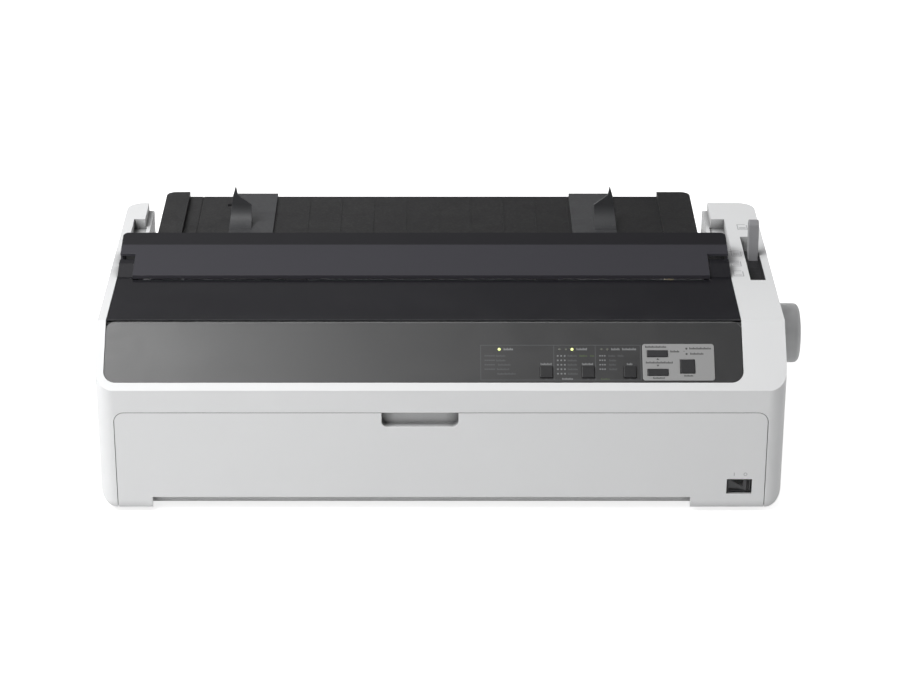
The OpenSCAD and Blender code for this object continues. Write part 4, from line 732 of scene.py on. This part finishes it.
class PRINTER_OT_case(bpy.types.Operator):
    """Finish the white case, its front cover, feet and screws, and print its signs by lever and switch"""
    bl_idname = "printer.case"
    bl_label = "White Case"

    def execute(self, context):
        edge = context.scene.printer_case.edge_round
        finish_all(
            ("upper_case lower_case front_cover", "case_white", edge, 3),
            ("rubber_feet", "rubber_black", 0.0004),
            ("frame_screws", "zinc_steel", 0.0002))
        self.lever_signs()
        self.switch_signs()
        return {"FINISHED"}

    def lever_signs(self):
        """Small outlines of a sheet, one for each place of the lever."""
        bm = bmesh.new()
        for x, y, lines in ((274.2, 154.2, 1), (274.2, 177.4, 4), (276.5, 201.1, 3), (288.5, 266, 2)):
            z = surface_point("upper_case", place(x, y, 230), (0, 0, -1)).z * 1000 + SIGN_GAP
            bars = [(-4.8, -6.5, 4.8, -5.6), (-4.8, 5.6, 3.2, 6.5), (-4.8, -5.6, -4, 5.6),
                    (4, -5.6, 4.8, 4.8)]
            bars += [(-3.2, -4 + 2.4 * i, 3.2, -2.8 + 2.4 * i) for i in range(lines)]
            for x0, y0, x1, y1 in bars:
                corners = [place(x + dx, y + dy, z) for dx, dy in ((x0, y0), (x1, y0), (x1, y1), (x0, y1))]
                add_plate(bm, corners, SIGN_THICK, Vector((0, 0, 1)))
        mesh_piece("lever_signs", bm, "case", "grey_print")

    def switch_signs(self):
        """The on and off marks over the power switch."""
        bm = bmesh.new()
        y = (surface_point("front_cover", place(262, -20, 40), (0, 1, 0)).y - CASE_Y) * 1000 - SIGN_GAP
        steps = 20
        centre = (271.4, 37.8)
        shapes = [[(261.1, 36.2), (261.7, 36.2), (261.7, 39.4), (261.1, 39.4)]]
        shapes += [[on_circle(centre, 1.6, i, steps), on_circle(centre, 1.6, i + 1, steps),
                    on_circle(centre, 1.1, i + 1, steps), on_circle(centre, 1.1, i, steps)]
                   for i in range(steps)]
        for shape in shapes:
            add_plate(bm, [place(x, y, z) for x, z in shape], SIGN_THICK, Vector((0, -1, 0)))
        mesh_piece("switch_signs", bm, "front_door", "grey_print")


class PRINTER_OT_cover(bpy.types.Operator):
    """Finish the smoked printer cover and the tear-off flap"""
    bl_idname = "printer.cover"
    bl_label = "Smoked Cover and Flap"

    def execute(self, context):
        finish_all(("printer_cover", "smoked_cover", 0.0007, 3), ("tear_off_flap", "flap_grey", 0.0007, 3))
        return {"FINISHED"}


class PRINTER_OT_panel(bpy.types.Operator):
    """Finish the control panel, its keys, lamps and board, and print its marks and status tables"""
    bl_idname = "printer.panel"
    bl_label = "Control Panel"

    def execute(self, context):
        finish_all(
            ("control_panel", "panel_grey", 0.0003),
            ("key_plate", "plate_grey", 0.0003),
            ("status_lamps", "lamp_dark", 0.0002),
            ("panel_board", "board_green", 0.0001),
            ("font_button pitch_button pause_button", "panel_key", 0.0006, 3),
            ("load_button feed_button tear_button", "key_black", 0.0006, 3))
        self.lamps()
        self.outlines()
        self.words()
        self.tables(context.scene.printer_panel)
        self.plate_marks()
        return {"FINISHED"}

    def lamps(self):
        """Domed lit lenses on the two lamps that glow."""
        bm = bmesh.new()
        dome = Matrix.Rotation(SLOPE, 4, "X") @ Matrix.Diagonal((1, 1, 0.55, 1))
        for x in (51.5, 115.9):
            made = bmesh.ops.create_uvsphere(bm, u_segments=20, v_segments=12, radius=0.0013)
            bmesh.ops.transform(
                bm, matrix=Matrix.Translation(on_panel(x, 28, -0.25)) @ dome, verts=made["verts"])
        mesh_piece("lit_lenses", bm, "case", "lamp")

    def outlines(self):
        """The thin lines round and between the three status groups."""
        bm = bmesh.new()
        x0, t0, x1, t1 = 34.8, 23.7, 176.7, 57.5
        line = 0.55
        panel_plate(bm, x0, t0, x1, t0 + line)
        panel_plate(bm, x0, t1 - line, x1, t1)
        panel_plate(bm, x0, t0 + line, x0 + line, t1 - line)
        panel_plate(bm, x1 - line, t0 + line, x1, t1 - line)
        for x in (99.4, 136.1):
            panel_plate(bm, x, t0 + line, x + 0.6, t1 - line)
        mesh_piece("panel_outlines", bm, "case", "faint_print")

    def words(self):
        """Generic strokes where the panel is printed."""
        bm = bmesh.new()
        panel_words(bm, (
            (55.4, 26.6, 8.5, 2.2, 9), (119.8, 26.6, 9.5, 2.2, 10), (150.5, 26.6, 7.6, 2.2, 8),
            (160.3, 26.6, 12.4, 2.2, 12), (87.9, 41.0, 10.0, 2.0, 10), (124.4, 41.0, 10.0, 2.0, 10),
            (164.0, 41.0, 5.2, 2.0, 5), (106.8, 55.2, 9.6, 1.7, 9)))
        mesh_piece("panel_words", bm, "case", "pale_print")
        bm = bmesh.new()
        panel_words(bm, [(x, t, width, 1.8, strokes) for x, t, width, strokes in (
            (48.7, 33.2, 8.4, 8), (48.7, 37.6, 8.4, 8), (50.4, 41.7, 11.2, 11), (49.4, 46.0, 11.0, 10),
            (49.8, 50.3, 16.2, 15), (111.9, 33.2, 8.2, 8), (111.9, 37.6, 8.2, 8), (111.9, 41.7, 8.2, 8),
            (111.9, 46.0, 9.0, 9), (111.9, 50.3, 9.0, 9), (148.0, 33.2, 6.0, 6), (156.2, 33.2, 5.4, 5),
            (148.5, 37.6, 6.2, 6), (148.5, 41.7, 6.2, 6), (148.5, 46.0, 7.0, 7))])
        for x in (92.9, 129.8, 166.6):
            panel_plate(bm, x - 1.0, 56.0, x + 1.0, 56.6)
        mesh_piece("panel_small_words", bm, "case", "faint_print")
        bm = bmesh.new()
        panel_words(bm, (
            (122.4, 33.2, 6.8, 1.8, 6), (132.0, 33.2, 3.6, 1.8, 3), (141.0, 55.6, 8.0, 1.4, 6)))
        mesh_piece("panel_green_words", bm, "case", "green_print")

    def tables(self, settings):
        """Rows of dots that show what the lamps mean."""
        dot = settings.dot_size
        for name, x, t, columns, rows, step, width, depth, finish in (
                ("font_table", 43.0, 40.5, 5, 4, 0.0019, 0.0015, 0.0012, "faint_print"),
                ("pitch_table", 106.2, 42.7, 3, 5, 0.0031, dot, dot, "pale_print"),
                ("mode_table", 142.6, 40.5, 3, 4, 0.0021, 0.0013, 0.0012, "pale_print")):
            row_of_bars(name, finish, columns, rows, (step, settings.row_pitch), (width, depth, PRINT_THICK),
                        on_panel(x, t, PANEL_LEVEL + 0.025), (SLOPE, 0, 0))

    def plate_marks(self):
        """Arrows, dots and generic strokes on the grey plate."""
        bm = bmesh.new()
        h = PLATE_LEVEL
        panel_words(bm, (
            (180.6, 24.9, 18.8, 1.9, 18), (180.8, 39.9, 24.0, 1.9, 22), (202.8, 29.3, 8.0, 1.9, 8),
            (219.6, 26.4, 19.4, 1.9, 18), (220.3, 31.5, 11.8, 1.9, 11), (186.9, 54.8, 10.4, 1.6, 10),
            (214.4, 52.6, 8.0, 1.6, 8)), h)
        for t, way in ((37.4, -0.9), (43.9, 0.9)):
            arrow = [on_panel(190.2, t - way, h), on_panel(191.4, t + way, h), on_panel(192.6, t - way, h)]
            add_plate(bm, arrow if way > 0 else arrow[::-1], PRINT_THICK, PANEL_NORMAL)
        for t in (27.6, 32.7):
            ring = [on_panel(*on_circle((217.0, t), 0.95, i, 16), h) for i in range(16)]
            add_plate(bm, ring[::-1], PRINT_THICK, PANEL_NORMAL)
        panel_plate(bm, 214.4, 29.9, 215.4, 30.3, h)
        mesh_piece("plate_marks", bm, "case", "dark_print")


class PRINTER_OT_guides(bpy.types.Operator):
    """Finish the rear paper guide and its two sliding edge guides"""
    bl_idname = "printer.guides"
    bl_label = "Paper Guides"

    def execute(self, context):
        finish_node("paper_guide", "guide_black", flatten=False)
        finish_all(("edge_guide_left edge_guide_right", "edge_grey", 0.0006, 3))
        return {"FINISHED"}


class PRINTER_OT_platen(bpy.types.Operator):
    """Finish the platen, its knob, gears and bushes, and the release lever"""
    bl_idname = "printer.platen"
    bl_label = "Platen and Lever"

    def execute(self, context):
        finish_all(
            ("platen_rubber", "rubber_black", 0.0004),
            ("platen_shaft", "bright_steel", 0.0002),
            ("platen_bushes", "gear_ivory", 0.0002),
            ("platen_gear idler_gear tractor_gear", "gear_ivory", 0.0001),
            ("feed_pinion", "brass", 0.0001),
            ("platen_knob", "knob_grey", 0.0006, 3),
            ("release_lever", "lever_grey", 0.0008, 3))
        self.lever_shield()
        self.slot_liner()
        return {"FINISHED"}

    def lever_shield(self):
        """A black curved shield on the lever that closes the slot in front of it."""
        bm = bmesh.new()
        pivot_y, pivot_z = LEVER_PIVOT
        x0, x1 = 284.6, 297.3
        inner, outer = 64.0, 65.6
        steps = 14
        rings = []
        for i in range(steps + 1):
            angle = math.radians(-50 + 56 * i / steps)
            rings.append([
                bm.verts.new(place(x, pivot_y + r * math.sin(angle), pivot_z + r * math.cos(angle)))
                for x, r in ((x0, inner), (x0, outer), (x1, outer), (x1, inner))])
        for a, b in zip(rings, rings[1:]):
            for k in range(4):
                bm.faces.new((a[k], a[(k + 1) % 4], b[(k + 1) % 4], b[k]))
        for ring in (rings[0], rings[-1]):
            bm.faces.new(ring)
        mesh_piece("lever_shield", bm, "lever", "switch_black")

    def slot_liner(self):
        """Black sheets on the outer side and the front end of the lever's slot."""
        bm = bmesh.new()
        low, high = 148, 165.9
        for a, b, normal in (
                ((297.9, 139.1), (297.9, 200), (-1, 0, 0)), ((284.1, 139.05), (297.4, 139.05), (0, 1, 0))):
            corners = [place(*a, low), place(*b, low), place(*b, high), place(*a, high)]
            add_plate(bm, corners, 0.0004, Vector(normal))
        mesh_piece("slot_liner", bm, "case", "inner_black")


class PRINTER_OT_tractors(bpy.types.Operator):
    """Finish the two tractors, their pin covers, shaft and rail"""
    bl_idname = "printer.tractors"
    bl_label = "Tractors"

    def execute(self, context):
        finish_all(
            ("tractor_left tractor_right", "inner_black", 0.0003),
            ("tractor_cover_left tractor_cover_right", "switch_black", 0.0003),
            ("tractor_shaft_bar tractor_rail", "zinc_steel", 0.0002))
        return {"FINISHED"}


class PRINTER_OT_print_line(bpy.types.Operator):
    """Finish the carriage, print head, ribbon, rails, belt and motors"""
    bl_idname = "printer.print_line"
    bl_label = "Print Line"

    def execute(self, context):
        finish_all(
            ("carriage", "inner_black", 0.0003),
            ("print_head", "pulley_alloy", 0.0002),
            ("ribbon_cartridge", "inner_black", 0.0005, 3),
            ("ink_ribbon", "ink_fabric", 0.0),
            ("carriage_rod", "bright_steel", 0.0003),
            ("guide_rail idler_bracket", "zinc_steel", 0.0002),
            ("timing_belt", "rubber_black", 0.0001),
            ("drive_pulley idler_pulley", "pulley_alloy", 0.0001),
            ("carriage_motor feed_motor", "motor_steel", 0.0004))
        return {"FINISHED"}


class PRINTER_OT_chassis(bpy.types.Operator):
    """Finish the base plate, frames, paper chute, inner panel and boards"""
    bl_idname = "printer.chassis"
    bl_label = "Chassis and Boards"

    def execute(self, context):
        finish_all(
            ("base_plate side_frame_left side_frame_right rear_stay", "zinc_steel", 0.0002),
            ("paper_chute", "inner_black", 0.0003),
            ("front_inner_panel", "inner_black", 0.0004),
            ("main_board", "board_green", 0.0002),
            ("power_board", "board_brown", 0.0002))
        for name, x in (("first_chip_legs", -148.0), ("second_chip_legs", -108.0)):
            row_of_bars(name, "bright_steel", 2, 13, (0.0192, 0.00254), (0.0012, 0.0005, 0.0014),
                        place(x, 222, BOARD_TOP + 0.7))
        return {"FINISHED"}


class PRINTER_OT_sockets(bpy.types.Operator):
    """Finish the power switch, the power inlet and the two interface sockets"""
    bl_idname = "printer.sockets"
    bl_label = "Switch and Sockets"

    def execute(self, context):
        finish_all(
            ("switch_housing power_inlet", "switch_black", 0.0003),
            ("power_rocker", "switch_black", 0.0004, 3),
            ("parallel_socket usb_socket", "bright_steel", 0.0002))
        self.contacts()
        self.rear_screws()
        return {"FINISHED"}

    def contacts(self):
        """Gilt contact strips over and under the tongues of the two interface sockets."""
        for name, columns, pitch, strip, centre in (
                ("parallel_contacts", 18, 0.0024, (0.0012, 0.0002, 0.0115), (-172, 318.5, 20.61)),
                ("usb_contacts", 4, 0.0014, (0.0008, 0.0002, 0.0100), (-112, 319.0, 19.41))):
            row_of_bars(name, "brass", columns, 2, (pitch, 0.0022), strip, place(*centre),
                        (math.pi / 2, 0, 0))

    def rear_screws(self):
        """Cross-head screws along the rear wall."""
        points = [surface_point("upper_case", place(x, 480, 62), (0, -1, 0)) for x in (-262, -90, 90, 262)]
        places = bpy.data.meshes.new("rear_screw_places")
        places.from_pydata([tuple(point) for point in points], [], [])
        mesh = grown("rear_screws", TREES["screws"], {
            "Head Radius": 0.0032, "Head Height": 0.0016, "Turn": (-math.pi / 2, 0, 0),
            "Material": FINISH["zinc_steel"]}, places)
        make_piece("rear_screws", mesh, "case", "zinc_steel")


# ---- Stage ----

WHITE = (1, 1, 1, 1)
# How strongly the floor shows as white, the grey of the room's walls and of its ceiling, how bright the
# room is on its left and right, and where the camera stands in metres
FLOOR_GLOW = 0.80
DIM_WALL = 0.22
CEILING = 0.95
LEFT_LEVEL = 1.75
RIGHT_LEVEL = 0.28
CAMERA_BACK = -2.4159
CAMERA_HEIGHT = 1.1931


def area_light(name, at, aim, size, power, mirrored=True):
    """A rectangular softbox; one that isn't mirrored adds no bright patch to polished faces."""
    data = bpy.data.lights.new(name, "AREA")
    data.shape = "RECTANGLE"
    data.size, data.size_y = size
    data.energy = power
    light = bpy.data.objects.new(name, data)
    light.visible_glossy = mirrored
    light.location = at
    light.rotation_euler = (Vector(aim) - Vector(at)).to_track_quat("-Z", "Y").to_euler()
    bpy.context.scene.collection.objects.link(light)


def floor_material():
    """A pale floor that keeps the object's shadow and shows white to the camera and in gloss."""
    material, tree, shader, where = start_material("pale_floor", Specular_IOR_Level=0.1)
    cloud = noise(tree, (-700, 200), where, 3.0, 4.0)
    wire(tree, mix_colours(tree, cloud, grey(0.66), grey(0.69), (-300, 200)), shader.inputs["Base Color"])
    wire(tree, ranged(tree, (-300, -100), cloud, 0.0, 1.0, 0.75, 0.85), shader.inputs["Roughness"])
    path = add(tree, "ShaderNodeLightPath", (-700, -300)).outputs
    seen = math_node(tree, "MAXIMUM", path["Is Camera Ray"], path["Is Glossy Ray"], (-450, -300))
    seen = math_node(tree, "MAXIMUM", seen, path["Is Transmission Ray"], (-250, -300))
    glow = math_node(tree, "MULTIPLY", seen, FLOOR_GLOW, (-50, -300))
    lift = add(tree, "ShaderNodeEmission", (300, -300), in_Strength=glow)
    both = add(tree, "ShaderNodeAddShader", (850, -200), in_0=shader.outputs[0], in_1=lift.outputs[0])
    wire(tree, both.outputs[0], tree.nodes["Material Output"].inputs["Surface"])
    return material


def build_world(level):
    """A white low horizon, dim grey walls over it and a pale ceiling, as round a cyclorama."""
    world = bpy.data.worlds.new("Studio Room")
    bpy.context.scene.world = world
    world.use_nodes = True
    tree = world.node_tree
    sky = tree.nodes["Background"]
    where = add(tree, "ShaderNodeTexCoord", (-900, 0)).outputs["Generated"]
    parts = add(tree, "ShaderNodeSeparateXYZ", (-700, 0), in_0=where)
    ramp = add(tree, "ShaderNodeValToRGB", (-450, 0), in_0=parts.outputs["Z"])
    stops = ramp.color_ramp.elements
    for stop, at in zip(stops, (0.0, 0.16)):
        stop.position = at
        stop.color = WHITE
    for at, tone in ((0.30, DIM_WALL), (0.74, DIM_WALL), (0.86, CEILING), (1.0, CEILING)):
        stops.new(at).color = (*grey(tone), 1)
    wire(tree, ramp.outputs[0], sky.inputs["Color"])
    # Brighter on the left, darker on the right, and plain white to the camera
    side = ranged(tree, (-450, -250), parts.outputs["X"], -0.16, 0.14, LEFT_LEVEL, RIGHT_LEVEL)
    lit = math_node(tree, "MULTIPLY", side, level, (-250, -250))
    path = add(tree, "ShaderNodeLightPath", (-450, -500))
    strength = add(tree, "ShaderNodeMix", (-50, -250), in_0=path.outputs["Is Camera Ray"], in_2=lit,
                   in_3=1.0)
    wire(tree, strength.outputs[0], sky.inputs["Strength"])


def lay_floor(size):
    """A square floor just under the feet."""
    half = size / 2
    mesh = bpy.data.meshes.new("pale_floor")
    mesh.from_pydata([(x * half, y * half, -0.0001) for x, y in ((-1, -1), (1, -1), (1, 1), (-1, 1))], [],
                     [(0, 1, 2, 3)])
    mesh.materials.append(floor_material())
    floor = bpy.data.objects.new("pale_floor", mesh)
    bpy.context.scene.collection.objects.link(floor)


def set_camera(scene, settings):
    """A long lens in front of the printer that looks down at it."""
    data = bpy.data.cameras.new("front_camera")
    data.sensor_width = 36.0
    data.lens = settings.lens
    data.shift_x = 0.01
    data.clip_end = 60.0
    camera = bpy.data.objects.new("front_camera", data)
    camera.location = (CASE_X, CAMERA_BACK, CAMERA_HEIGHT)
    camera.rotation_euler = (math.radians(90) - settings.pitch, 0, 0)
    scene.collection.objects.link(camera)
    scene.camera = camera


class PRINTER_OT_stage(bpy.types.Operator):
    """Make the finishes, the floor, the soft studio light, the room and the camera"""
    bl_idname = "printer.stage"
    bl_label = "Stage and Camera"

    def execute(self, context):
        scene = context.scene
        settings = scene.printer_stage
        lay_floor(settings.floor_size)
        build_groups()
        build_finishes(scene)
        TREES.update({"table": table_tree(), "screws": screw_tree()})
        for name, at, aim, size, share, mirrored in (
                ("softbox_left", (-1.02, -0.68, 1.58), (-0.1, -0.1, 0.1), (1.4, 0.9), 1.0, True),
                ("softbox_front", (-1.0, -1.7, 0.95), (0.0, -0.1, 0.08), (0.9, 0.9), 0.11, True),
                ("softbox_rear", (0.35, 2.2, 0.62), (0.0, 0.1, 0.1), (1.5, 0.9), 0.8, False),
                ("softbox_right", (2.0, 0.1, 1.0), (0.1, 0.0, 0.1), (1.2, 0.9), 0.25, False)):
            area_light(name, at, aim, size, settings.softbox_power * share, mirrored)
        build_world(settings.room_level)
        set_camera(scene, settings)
        scene.view_settings.view_transform = "Standard"
        return {"FINISHED"}


STEPS = (
    PRINTER_OT_stage, PRINTER_OT_case, PRINTER_OT_cover, PRINTER_OT_panel, PRINTER_OT_guides,
    PRINTER_OT_platen, PRINTER_OT_tractors, PRINTER_OT_print_line, PRINTER_OT_chassis, PRINTER_OT_sockets,
)


class PRINTER_PT_sidebar(bpy.types.Panel):
    bl_idname = "PRINTER_PT_sidebar"
    bl_label = "Dot Matrix Printer"
    bl_space_type = "VIEW_3D"
    bl_region_type = "UI"
    bl_category = "Printer"

    def draw(self, context):
        layout = self.layout
        for key, kind in SETTINGS.items():
            box = layout.box()
            settings = getattr(context.scene, key)
            for name in kind.__annotations__:
                box.prop(settings, name)
        column = layout.column(align=True)
        for operator in STEPS:
            column.operator(operator.bl_idname)


CLASSES = (*SETTINGS.values(), *STEPS, PRINTER_PT_sidebar)


def register():
    for cls in CLASSES:
        bpy.utils.register_class(cls)
    for key, kind in SETTINGS.items():
        setattr(bpy.types.Scene, key, bpy.props.PointerProperty(type=kind))


def unregister():
    for key in SETTINGS:
        delattr(bpy.types.Scene, key)
    for cls in reversed(CLASSES):
        bpy.utils.unregister_class(cls)


def main():
    register()
    for operator in STEPS:
        group, name = operator.bl_idname.split(".")
        result = getattr(getattr(bpy.ops, group), name)()
        if result != {"FINISHED"}:
            raise RuntimeError(f"{operator.bl_idname} didn't finish")


if __name__ == "__main__":
    main()
